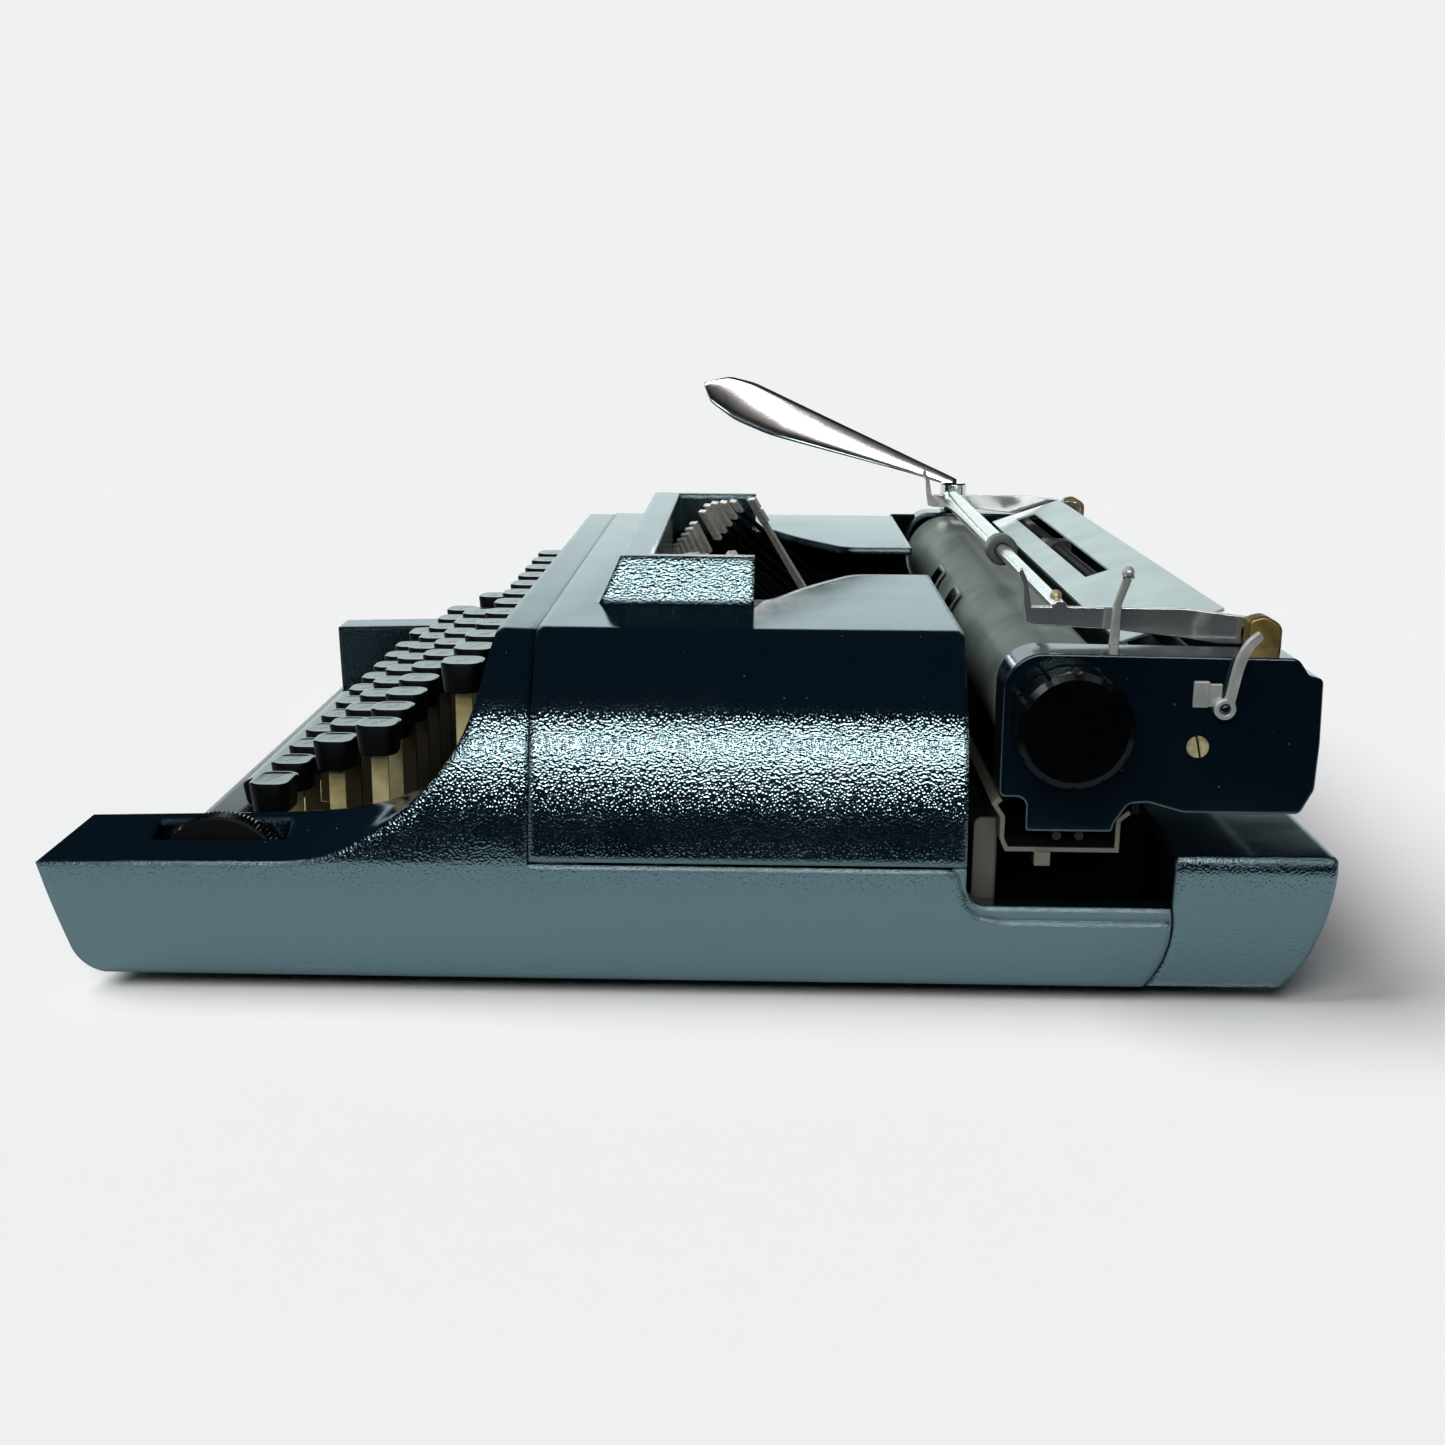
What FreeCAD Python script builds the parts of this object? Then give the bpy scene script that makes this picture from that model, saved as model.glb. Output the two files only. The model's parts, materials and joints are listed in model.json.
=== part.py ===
import FreeCAD, Part
import math
import os

os.makedirs("parts", exist_ok=True)
V = FreeCAD.Vector

# A flat portable typewriter, in millimetres.
# +X is the typist's right, +Y the rear, +Z up; the origin is under the middle of the machine.

# Casing
wall = 2.2
shell_bottom = 4.0
bottom_half = 149.6
ridge_half = 152.8
ridge_z = 35.2
top_z = 89.0
top_half = 124.0
front_y = -160.6
cheek_inner_half = 135.0
cheek_inner_y = -151.4
cheek_top_z = 41.0
apron_z = 16.5
cover_front_y = -38.0
cover_rear_y = 70.0
recess_floor_z = 25.2
recess_corner = 5.5
recess_rear_y = 120.5
rear_y = 160.6
rear_top_z = 39.0
seam = 0.4
groove_width = 0.9
groove_depth = 0.7

# Raised hood round the type basket, open to the rear; its front and sides lean inwards
hood_half = 88.5
hood_inner_half = 80.0
hood_top_z = 101.5
hood_front_y = -25.5
hood_inner_y = -11.0
hood_rear_y = 17.0
hood_front_lean = 0.45
hood_side_lean = 0.34
throat_half = 30.0

# Keyboard: a row has the place and the height of its keytops, its first key's X and its number of keys
key_pitch = 19.0
key_width = 12.4
key_depth = 11.2
key_height = 11.0
lever_thick = 1.2
fulcrum_y = 58.0
fulcrum_z = 12.5
fulcrum_r = 2.0
lever_front_z = 25.0
lever_height = 5.0
number_row = {"y": -60.0, "top": 77.0, "first": -102.10, "count": 11}
upper_row = {"y": -81.3, "top": 61.9, "first": -92.60, "count": 12}
home_row = {"y": -96.3, "top": 54.0, "first": -87.85, "count": 11}
lower_row = {"y": -110.7, "top": 45.3, "first": -78.35, "count": 10}
typed_key_index = 1
shift_half_left = -106.0
shift_half_right = 113.0
shift_width = 15.0
space_half = 62.0
space_arm_half = 110.0

# Fixed rail of the carriage
rail_low = 39.0
rail_sheet = 1.2

# Platen and carriage
platen_y = 93.0
platen_z = 72.5
platen_r = 16.0
platen_half = 136.0
platen_shaft_r = 4.0
knob_r = 14.0
knob_face = 163.0
end_face = 153.0
end_depth = 14.0
end_wall = 2.0
running = 0.05

# Type basket: bars lie along the segment's normal and swing to one point on the platen
segment_tilt = math.radians(40.0)
typebar_length = 68.0
typebar_count = 44
typebar_fan = 62.0
typebar_thick = 1.1
raised_bar_index = 5
raised_bar_angle = 28.0
print_gap = 0.6

# Ribbon and its spools
spool_x, spool_y, spool_low, spool_high = 102.0, 12.0, 56.5, 71.5
spool_r, cup_r, spool_post_r = 19.5, 21.5, 2.5
ribbon_low, ribbon_high = 57.8, 70.2

# Return lever's post, feed rollers, paper table and margin rail
lever_x, lever_y, lever_post_r = -147.0, 96.0, 2.5
roller_y, roller_r, roller_shaft_r = 91.0, 3.6, 1.5
table_half = 126.0
margin_y, margin_z, margin_r = 124.0, 86.0, 2.0

# Paper bail, resting a little way off the platen
bail_x_low, bail_x_high = 131.4, 132.8
bail_rod_y, bail_rod_z, bail_rod_r = 92.7, 96.7, 2.0
bail_pivot_y, bail_pivot_z, bail_pin_r = 140.5, 91.5, 2.0
bail_stand = 3.5

# Pivots of the two small levers at the carriage's right end
release_pin_r = 1.2
paper_release_y, paper_release_z = 105.3, 79.5
carriage_release_y, carriage_release_z = 129.5, 76.5

# Escapement wheel; mainspring drum, on a post that stands on the bottom pan
wheel_y, wheel_z, wheel_r, wheel_pin_r = 113.8, 36.0, 8.0, 2.0
drum_x, drum_y, drum_r, drum_pin_r = -100.0, 138.0, 14.0, 2.5

# Thumbwheel, standing through a slot in the right cheek
thumb_y, thumb_z, thumb_r, thumb_pin_r = -116.6, 27.5, 16.2, 2.0
thumb_x_low, thumb_x_high = 138.6, 144.2


def yz(x):
    return lambda a, b: V(x, a, b)


def xz(y):
    return lambda a, b: V(a, y, b)


def xy(z):
    return lambda a, b: V(a, b, z)


# A closed outline; a corner with a third value is rounded with that radius.
def outline(corners, place):
    count = len(corners)
    spans = []
    for index, corner in enumerate(corners):
        here = V(corner[0], corner[1], 0)
        radius = corner[2] if len(corner) > 2 else 0
        if not radius:
            spans.append((here, None, here))
            continue
        before = V(*corners[index - 1][:2], 0) - here
        after = V(*corners[(index + 1) % count][:2], 0) - here
        before.normalize()
        after.normalize()
        half = before.getAngle(after) / 2
        inward = (before + after).normalize()
        reach = radius / math.tan(half)
        middle = here + inward * (radius / math.sin(half) - radius)
        spans.append((here + before * reach, middle, here + after * reach))
    edges = []
    for index, (first, middle, last) in enumerate(spans):
        if middle is not None:
            edges.append(Part.Arc(*[place(p.x, p.y) for p in (first, middle, last)]).toShape())
        following = spans[(index + 1) % count][0]
        if last.distanceToPoint(following) > 1e-6:
            edges.append(Part.LineSegment(place(last.x, last.y), place(following.x, following.y)).toShape())
    return Part.Wire(edges)


# The corners of a bent sheet, from the sheet's middle line.
def bent_sheet(path, thick):
    spots = [V(a, b, 0) for a, b in path]
    along = [(b - a).normalize() for a, b in zip(spots, spots[1:])]
    left, right = [], []
    for index, spot in enumerate(spots):
        before, after = along[max(index - 1, 0)], along[min(index, len(along) - 1)]
        across = V(-before.y - after.y, before.x + after.x, 0).normalize()
        reach = thick / 2 / across.dot(V(-after.y, after.x, 0))
        left.append(spot + across * reach)
        right.append(spot - across * reach)
    return [(spot.x, spot.y) for spot in left + right[::-1]]


def plate_x(corners, x_low, x_high):
    return Part.Face(outline(corners, yz(x_low))).extrude(V(x_high - x_low, 0, 0))


def plate_y(corners, y_low, y_high):
    return Part.Face(outline(corners, xz(y_low))).extrude(V(0, y_high - y_low, 0))


def plate_z(corners, z_low, z_high):
    return Part.Face(outline(corners, xy(z_low))).extrude(V(0, 0, z_high - z_low))


def box(x_low, x_high, y_low, y_high, z_low, z_high):
    return Part.makeBox(x_high - x_low, y_high - y_low, z_high - z_low, V(x_low, y_low, z_low))


def rod_x(x_low, x_high, y, z, radius):
    return Part.makeCylinder(radius, x_high - x_low, V(x_low, y, z), V(1, 0, 0))


def rod_y(x, y_low, y_high, z, radius):
    return Part.makeCylinder(radius, y_high - y_low, V(x, y_low, z), V(0, 1, 0))


def rod_z(x, y, z_low, z_high, radius):
    return Part.makeCylinder(radius, z_high - z_low, V(x, y, z_low))


# A solid of revolution about an X line through (y, z); the profile is (x, radius) pairs.
def turned_x(profile, y, z):
    points = [V(x, y, z + radius) for x, radius in profile]
    points = [V(profile[0][0], y, z)] + points + [V(profile[-1][0], y, z)]
    face = Part.Face(Part.makePolygon(points + points[:1]))
    return face.revolve(V(0, y, z), V(1, 0, 0), 360)


def mirrored(shape):
    return shape.mirror(V(0, 0, 0), V(1, 0, 0))


def both_sides(shape):
    return [shape, mirrored(shape)]


def spline(points, start=None, end=None):
    curve = Part.BSplineCurve()
    if start is None:
        curve.interpolate(points)
    else:
        curve.interpolate(Points=points, InitialTangent=start, FinalTangent=end)
    return curve.toShape()


def line(first, last):
    return Part.LineSegment(first, last).toShape()


def arc(first, middle, last):
    return Part.Arc(first, middle, last).toShape()


def save(name, *solids):
    shape = solids[0] if len(solids) == 1 else Part.makeCompound(list(solids))
    shape.exportStep("parts/" + name + ".step")


# One side of the casing above the ridge, from the ridge in to the flat top.
def side_points(inset):
    heights = [(ridge_half, ridge_z, 1, 0), (149.6, 55, 1, 0.3), (142.8, 73, 0.9, 0.5),
               (134.5, 83.3, 0.6, 0.8), (top_half, top_z, 0, 1)]
    return [(x - inset * out, z - inset * up) for x, z, out, up in heights]


# The casing's cross-section at one y: flat top, convex sides and, if low is given, the lower band.
def section(y, inset=0.0, low=None):
    points = side_points(inset)
    right = [V(x, y, z) for x, z in points]
    left = [V(-x, y, z) for x, z in reversed(points)]
    edges = [spline(right, V(-0.1, 0, 1), V(-1, 0, 0)), line(right[-1], left[0]),
             spline(left, V(-1, 0, 0), V(-0.1, 0, -1))]
    foot = [(-(bottom_half - inset), low), (bottom_half - inset, low)] if low is not None else []
    loop = [left[-1]] + [V(x, y, z) for x, z in foot] + [right[0]]
    edges += [line(a, b) for a, b in zip(loop, loop[1:])]
    return Part.Wire(edges)


# The seam between main shell and rear cover, a shallow curve from the recess floor down to the foot.
def seam_curve(x, y, top, low):
    return arc(V(x, y, top), V(x, y - 0.7, 12), V(x, y - 5.1, low))


# The main shell's side view, at the outer ridge or at a cheek's inner edge.
def shell_profile(x, outer, inset=0.0, low=shell_bottom):
    if outer:
        chin = [(-143, shell_bottom), (-151.4, 6.4), (-154.6, 11), (-158.3, 22.5), (front_y, 33.3)]
        swoop = [(-98, 34), (-83.5, 37.6), (-66.7, 49.7), (-56, 62.8), (-49.4, 78), (-46.5, 91)]
    else:
        chin = [(-143, shell_bottom), (-148.3, 5.6), (-150.4, 10), (-151, 25), (cheek_inner_y, cheek_top_z)]
        swoop = [(-104, 42.2), (-76.4, 45.2), (-64.2, 50.8), (-56, 61.9), (-50.9, 76.7), (-47.2, 91)]
    chin = [V(x, y + inset, z - inset * (z > 30)) for y, z in chin]
    swoop = [V(x, y + inset, z - inset * (z < 60)) for y, z in swoop]
    ceiling = swoop[-1].z
    ledge = ridge_z - inset
    floor = recess_floor_z - inset
    rear = cover_front_y - inset
    bend = recess_corner * (1 - math.sqrt(0.5))
    recess_y = cover_rear_y - inset
    seam_y = recess_rear_y + inset
    path = [V(x, rear, ceiling), V(x, rear, ledge), V(x, recess_y, ledge),
            V(x, recess_y, floor + recess_corner)]
    floor_start = V(x, recess_y + recess_corner, floor)
    edges = [arc(*chin[:3]), arc(*chin[2:]), line(chin[-1], swoop[0]), spline(swoop),
             line(swoop[-1], path[0])]
    edges += [line(a, b) for a, b in zip(path, path[1:])]
    edges += [arc(path[-1], V(x, recess_y + bend, floor + bend), floor_start),
              line(floor_start, V(x, seam_y, floor)), seam_curve(x, seam_y, floor, low)]
    loop = [V(x, seam_y - 5.1, low)]
    loop += [V(x, chin[0].y, low)] if low < shell_bottom else []
    loop += [chin[0]]
    edges += [line(a, b) for a, b in zip(loop, loop[1:])]
    return Part.Wire(edges)


# The right cheek falls away to its ridge; the left one stays level out to the side.
def shell_block(inset=0.0, low=shell_bottom):
    stations = [(-ridge_half - 1, False), (-cheek_inner_half, False),
                (cheek_inner_half, False), (ridge_half + 1, True)]
    side_view = Part.makeLoft([shell_profile(x, outer, inset, low) for x, outer in stations], True, True)
    front_view = Part.Face(section(front_y - 10, inset, low=low)).extrude(V(0, 300, 0))
    return side_view.common(front_view)


# The keyboard well between the cheeks, open at the front and the rear.
def keyboard_well(grow=0.0):
    bar_front = -48.0 - grow
    bar_under = 77.0 + grow
    side = [(-180, apron_z - grow), (-28 + grow, apron_z - grow), (-28 + grow, bar_under),
            (bar_front, bar_under), (bar_front, 120), (-180, 120)]
    half_low = cheek_inner_half + grow
    half_high = 121.0 + grow
    front = [(-half_low, 0), (half_low, 0), (half_low, cheek_top_z), (half_high, top_z),
             (half_high, 130), (-half_high, 130), (-half_high, top_z), (-half_low, cheek_top_z)]
    return plate_x(side, -200, 200).common(plate_y(front, -190, 0))


# A shallow groove along the seam and round the recess, as the edge of the pressed side.
def side_groove():
    rim = 3.7
    low = recess_floor_z - rim
    recess = cover_rear_y
    path = [(cover_front_y, ridge_z), (recess - 4.5, ridge_z), (recess - 2.2, 33.6), (recess - 1.2, 29.5),
            (recess + 0.6, 25.4), (recess + 3.4, 22.8), (recess + 9.5, low), (recess_rear_y, low)]
    return plate_x(bent_sheet(path, groove_width), -200, 200).cut(shell_block(groove_depth))


# Casing
def make_main_shell():
    hollow = shell_block(wall, -6.0).cut(keyboard_well(wall))
    shell = shell_block().cut(keyboard_well()).cut(hollow)
    lip_half = 145.0
    shell = shell.cut(box(-lip_half, lip_half, -30, 130, -10, ridge_z + 10))
    shell = shell.cut(box(-120, 120, -139, -20, 0, 20))
    slot_front, slot_rear = -133.5, -99.5
    shell = shell.cut(box(thumb_x_low - 1.2, thumb_x_high + 0.4, slot_front, slot_rear, thumb_z, 60))
    return shell.cut(side_groove())


def hood_block(shrink, low):
    top = hood_top_z - shrink
    front = hood_front_y + shrink
    rear = hood_rear_y - shrink

    def half(z):
        return hood_half - shrink - hood_side_lean * (z - top_z)

    side = [(front + hood_front_lean * (low - top_z), low), (front + hood_front_lean * (top - top_z), top),
            (rear, top), (rear, low)]
    face = [(-half(low), low), (half(low), low), (half(top), top), (-half(top), top)]
    block = plate_x(side, -hood_half - 20, hood_half + 20).common(plate_y(face, hood_front_y - 20, rear))
    inner = hood_inner_half + shrink
    return block.cut(box(-inner, inner, hood_inner_y - shrink, 40, 0, 150))


def half_opening():
    widen = [(hood_inner_half, hood_rear_y), (74, 24), (52, 34), (35, 44), (throat_half, 58)]
    curve = [V(x, y, 80) for x, y in widen]
    loop = [V(0, hood_inner_y, 80), V(hood_inner_half, hood_inner_y, 80), curve[0]]
    tail = [curve[-1], V(throat_half, 90, 80), V(0, 90, 80), loop[0]]
    edges = [line(a, b) for a, b in zip(loop, loop[1:])] + [spline(curve, V(0, 1, 0), V(0, 1, 0))]
    edges += [line(a, b) for a, b in zip(tail, tail[1:])]
    return Part.Face(Part.Wire(edges)).extrude(V(0, 0, 12))


def make_ribbon_cover():
    front = cover_front_y + seam
    length = cover_rear_y - front
    outer = Part.Face(section(front)).extrude(V(0, length, 0))
    hollow = Part.Face(section(front - 2, wall)).extrude(V(0, length + 4, 0))
    hollow = hollow.fuse(box(-ridge_half + wall, ridge_half - wall, -60, 90, 20, ridge_z + 1))
    cover = outer.cut(hollow)
    for opening in both_sides(half_opening()):
        cover = cover.cut(opening)
    hood = hood_block(0, top_z - wall).cut(hood_block(wall, top_z - 20))
    return cover.fuse(hood).removeSplitter().translated(V(0, 0, seam))


def make_rear_cover():
    front = recess_rear_y + seam

    def block(inset, low, start):
        top, back = rear_top_z - inset, rear_y - inset
        corner = 1.2
        bend = corner * (1 - math.sqrt(0.5))
        crest, shoulder = V(-200, back - corner, top), V(-200, back, top - corner)
        waist, heel = V(-200, back - 5.8, 10.3), V(-200, back - 11, low)
        lip = V(-200, start, recess_floor_z)
        edges = [seam_curve(-200, start, recess_floor_z, low), line(lip, V(-200, start, top)),
                 line(V(-200, start, top), crest), arc(crest, V(-200, back - bend, top - bend), shoulder),
                 arc(shoulder, V(-200, back - 1.6, 22), waist), line(waist, heel),
                 line(heel, V(-200, start - 5.1, low))]
        face = [(bottom_half - inset, low), (ridge_half - inset, ridge_z),
                (ridge_half - 0.6 - inset, top, 1), (-ridge_half + 0.6 + inset, top, 1),
                (-ridge_half + inset, ridge_z), (-bottom_half + inset, low)]
        side = Part.Face(Part.Wire(Part.__sortEdges__(edges))).extrude(V(400, 0, 0))
        return side.common(plate_y(face, 100, 200))

    shell = block(0, shell_bottom, front).cut(block(wall, -6.0, front + wall))
    return shell.cut(box(-146.5, 146.5, front - 10, front + 5, 0, recess_floor_z))


def make_bottom_pan():
    half, front, rear = 145.0, -138.0, 147.0
    low, sheet, rim = 5.2, 1.5, 10.4
    corner = 10.0

    def tray(inset, base):
        corners = [(-half + inset, front + inset, corner), (half - inset, front + inset, corner),
                   (half - inset, rear - inset, corner), (-half + inset, rear - inset, corner)]
        return plate_z(corners, base, rim)

    post = rod_z(drum_x, drum_y, low, 11.6, 6).fuse(rod_z(drum_x, drum_y, low, 26, drum_pin_r))
    return tray(0, low).cut(tray(sheet, low + sheet)).fuse(post)


def make_feet():
    foot_r, waist = 9.0, 7.5
    cone = Part.makeCone(waist, foot_r, 5.2)
    return [cone.translated(V(x, y, 0)) for x in (-118, 118) for y in (-112, 132)]


save("main_shell", make_main_shell())
save("ribbon_cover", make_ribbon_cover())
save("rear_cover", make_rear_cover())
save("bottom_pan", make_bottom_pan())
save("rubber_feet", *make_feet())


# Chassis
def make_side_frame():
    corners = [(-26, 8), (118, 8), (118, rail_low), (74, rail_low), (64, 66, 4), (-14, 66, 6), (-26, 50, 4)]
    frame = plate_x(corners, 127, 129)
    window = [(-8, 30, 5), (20, 30, 5), (20, 56, 5), (-8, 56, 5)]
    return frame.cut(plate_x(window, 120, 135))


# A sheet channel on the side frames, with a strap and a square bar at either end.
def make_carriage_rail():
    middle = rail_low + rail_sheet / 2
    path = [(78.1, 52.4), (76.5, 50.9), (78.6, 47.8), (78.6, 42.3), (79.8, middle), (106.8, middle),
            (106.8, 47.2), (109.5, 49.4)]
    rail = plate_x(bent_sheet(path, rail_sheet), -150, 150)
    strap = plate_x([(72.4, 10.8), (78.4, 10.8), (78.4, 45.6), (72.4, 45.6, 2)], 142, 143.5)
    bar = box(131, 151, 86.6, 90.5, rail_low - 3.3, rail_low + 0.2)
    return rail.fuse(both_sides(strap) + both_sides(bar))


def make_key_rest():
    return box(-118, 118, -132, -50, 7.0, 8.6)


save("side_frames", *both_sides(make_side_frame()))
save("carriage_rail", make_carriage_rail())
save("key_rest_felt", make_key_rest())
save("key_fulcrum_shaft", rod_x(-126.8, 126.8, fulcrum_y, fulcrum_z, fulcrum_r))


# Keyboard
def keytop(x, y, top, width=key_width):
    def ring(height, grow, dish=0.0):
        half_x = width / 2 + grow - dish
        half_y = key_depth / 2 + grow - dish
        cut = 2.6 - dish / 2
        corners = [(-half_x + cut, -half_y), (half_x - cut, -half_y), (half_x, -half_y + cut),
                   (half_x, half_y - cut), (half_x - cut, half_y), (-half_x + cut, half_y),
                   (-half_x, half_y - cut), (-half_x, -half_y + cut)]
        points = [V(x + a, y + b, height) for a, b in corners]
        return Part.makePolygon(points + points[:1])

    body = Part.makeLoft([ring(top - key_height, -0.9), ring(top, 0)], True, True)
    dish = Part.makeLoft([ring(top - 0.8, 0, 1.6), ring(top + 0.1, 0, 0.7)], True, True)
    return body.cut(dish)


# A flat lever forked on the fulcrum shaft, running forward and turned up into the key's stem.
def key_lever(x, y, key_under, tail=3.0):
    stem = 4.4
    slope = (lever_front_z - fulcrum_z) / (fulcrum_y - lower_row["y"])
    half = lever_height / 2
    fork = fulcrum_r + 0.1
    z_front = fulcrum_z + slope * (fulcrum_y - y)
    rear = fulcrum_y + tail
    corners = [(rear, fulcrum_z + half + 0.6), (y + stem / 2, z_front + half), (y + stem / 2, key_under),
               (y - stem / 2, key_under), (y - stem / 2, z_front - half), (rear, fulcrum_z - half - 0.6),
               (rear, fulcrum_z - fork), (fulcrum_y - fork, fulcrum_z - fork),
               (fulcrum_y - fork, fulcrum_z + fork), (rear, fulcrum_z + fork)]
    return plate_x(corners, x - lever_thick / 2, x + lever_thick / 2)


def key_and_lever(x, row, width=key_width):
    return keytop(x, row["y"], row["top"], width), key_lever(x, row["y"], row["top"] - key_height)


def row_places(row):
    return [row["first"] + key_pitch * index for index in range(row["count"])]


for row_name, row in (("number", number_row), ("upper", upper_row), ("home", home_row), ("lower", lower_row)):
    places = row_places(row)
    if row is upper_row:
        places.pop(typed_key_index)
    pairs = [key_and_lever(x, row) for x in places]
    save(row_name + "_row_keytops", *[pair[0] for pair in pairs])
    save(row_name + "_row_levers", *[pair[1] for pair in pairs])

save("backspace_key", *key_and_lever(107.9, number_row))
save("shift_lock_key", *key_and_lever(-108.3, home_row))


# The key whose typebar stands part-way up rests a little lower than its row.
def make_typed_key(sink_deg):
    pieces = key_and_lever(row_places(upper_row)[typed_key_index], upper_row)
    return [piece.rotated(V(0, fulcrum_y, fulcrum_z), V(1, 0, 0), sink_deg) for piece in pieces]


key_travel_deg = 3.2
bar_travel_deg = 90.0
save("typed_key", *make_typed_key(key_travel_deg * raised_bar_angle / bar_travel_deg))


def make_space_bar():
    front, rear, top, low = -135.0, -123.5, 31.0, 23.0
    side = [(front + 1.2, low), (front, top - 1.5), (front + 2.5, top), (rear, top), (rear, low)]
    bar = plate_x(side, -space_half, space_half)
    under = [(front + 3.2, low - 1), (front + 2.2, top - 2.2), (rear - 2, top - 2.2), (rear - 2, low - 1)]
    return bar.cut(plate_x(under, -space_half + 2, space_half - 2))


def make_space_frame():
    bar_front, bar_rear, bar_top, bar_low = -132.0, -126.0, 22.8, 21.2
    fork = fulcrum_r + 0.1
    rear = fulcrum_y + 3.0
    side = [(rear, fulcrum_z + 3), (bar_rear, bar_top), (bar_rear, bar_low - 0.8), (rear, fulcrum_z - 3),
            (rear, fulcrum_z - fork), (fulcrum_y - fork, fulcrum_z - fork),
            (fulcrum_y - fork, fulcrum_z + fork), (rear, fulcrum_z + fork)]
    outer = space_arm_half + lever_thick / 2
    frame = box(-outer, outer, bar_front, bar_rear, bar_low, bar_top)
    for arm in both_sides(plate_x(side, outer - lever_thick, outer)):
        frame = frame.fuse(arm)
    return frame


save("space_bar", make_space_bar())
save("space_bar_frame", make_space_frame())


def make_shift_frame():
    under = lower_row["top"] - key_height
    tail, tie_front = 7.0, 4.2
    half = lever_thick / 2
    frame = box(shift_half_left - half, shift_half_right + half, fulcrum_y + tie_front, fulcrum_y + tail,
                fulcrum_z + 2.2, fulcrum_z + 4.6)
    for x in (shift_half_left, shift_half_right):
        frame = frame.fuse(key_lever(x, lower_row["y"], under, tail))
    return frame


save("shift_keytops", *[keytop(x, lower_row["y"], lower_row["top"], shift_width)
                        for x in (shift_half_left, shift_half_right)])
save("shift_frame", make_shift_frame())


# Type basket, drawn in the segment's own frame: X across, Y up its plane, Z towards the typist.
print_reach = platen_r + print_gap
print_y = platen_y - print_reach * math.cos(segment_tilt)
print_z = platen_z + print_reach * math.sin(segment_tilt)


def in_basket(shape):
    turned = shape.rotated(V(0, 0, 0), V(1, 0, 0), 90 - math.degrees(segment_tilt))
    return turned.translated(V(0, print_y, print_z))


def bar_angle(index):
    return typebar_fan * (2 * index / (typebar_count - 1) - 1)


def fanned(shape, index):
    return shape.rotated(V(0, 0, 0), V(0, 0, 1), bar_angle(index))


def make_segment():
    inner, outer, back, front, span = 60.0, 79.0, -7.0, 3.0, 66.0
    slot_half, slot_floor = 0.75, -4.0
    ring = Part.makeCylinder(outer, front - back, V(0, 0, back), V(0, 0, 1), 2 * span)
    ring = ring.cut(Part.makeCylinder(inner, front - back, V(0, 0, back)))
    ring = ring.rotated(V(0, 0, 0), V(0, 0, 1), -90 - span)
    for ear in both_sides(box(62, 126.8, -50, -38, back, slot_floor - 0.2)):
        ring = ring.fuse(ear)
    slot = box(-slot_half, slot_half, -outer - 3, -inner + 3, slot_floor, front + 2)
    return ring.cut([fanned(slot, index) for index in range(typebar_count)])


# One bar: a forked root on the segment, a tapering shank and a slug whose face meets the paper.
def make_typebar():
    radius, length = typebar_length, typebar_length
    root, slug_low, slug_high, slug_half = 2.2, length - 5.0, length + 4.0, 1.25
    corners = [(-radius + 2.4, -root), (-radius + 2.4, 6), (-radius - 0.6, 14), (-radius - 1.0, slug_low),
               (-radius - 3.4, slug_low), (-radius - 4.4, 14), (-radius - 3.2, -root)]
    shank = plate_x(corners, -typebar_thick / 2, typebar_thick / 2)
    slug = box(-slug_half, slug_half, -radius - 3.4, -radius, slug_low, slug_high)
    pivot_r = 0.7
    return shank.fuse(slug).cut(rod_x(-typebar_thick, typebar_thick, -radius, 0, pivot_r))


bar = make_typebar()
resting = [index for index in range(typebar_count) if index != raised_bar_index]
save("type_segment", in_basket(make_segment()))
save("typebars", *[in_basket(fanned(bar, index)) for index in resting])
raised = bar.rotated(V(0, -typebar_length, 0), V(-1, 0, 0), raised_bar_angle)
save("raised_typebar", in_basket(fanned(raised, raised_bar_index)))


# Ribbon
def make_ribbon_cup():
    floor, rim = spool_low - 2.0, spool_high + 1.5
    cup = rod_z(spool_x, spool_y, floor, rim, cup_r).cut(rod_z(spool_x, spool_y, floor + 1, rim, cup_r - 1))
    mouth = box(spool_x - 12, spool_x + 12, spool_y + 14, spool_y + 30, floor + 1.5, rim + 1)
    return cup.cut(mouth).fuse(rod_z(spool_x, spool_y, floor, spool_high + 3, spool_post_r))


def make_spool(side):
    x = side * spool_x
    flange = 1.0
    spool = rod_z(x, spool_y, spool_low, spool_high, 7)
    for low in (spool_low, spool_high - flange):
        spool = spool.fuse(rod_z(x, spool_y, low, low + flange, spool_r))
    return spool.cut(rod_z(x, spool_y, 0, 100, spool_post_r + running))


def make_ribbon():
    half = 0.2
    route = [(0, 74.3), (20, 74.3), (80, 68.2), (spool_x + 10, spool_y + 17.8)]
    front = [(x, y - half) for x, y in route]
    rear = [(x, y + half) for x, y in reversed(route)]
    right = plate_z(front + rear, ribbon_low, ribbon_high)
    return right.fuse(mirrored(right)).removeSplitter()


save("ribbon_cups", *both_sides(make_ribbon_cup()))
save("ribbon_spool_right", make_spool(1))
save("ribbon_spool_left", make_spool(-1))
save("ribbon", make_ribbon())


def make_vibrator():
    low, high, inner, outer = 53.6, 70.5, 11.0, 14.4
    y_low, y_high = 75.7, 76.3
    corners = [(-outer, low), (outer, low), (outer, high), (inner, high), (inner, low + 4, 2),
               (-inner, low + 4, 2), (-inner, high), (-outer, high)]
    return plate_y(corners, y_low, y_high)


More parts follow.
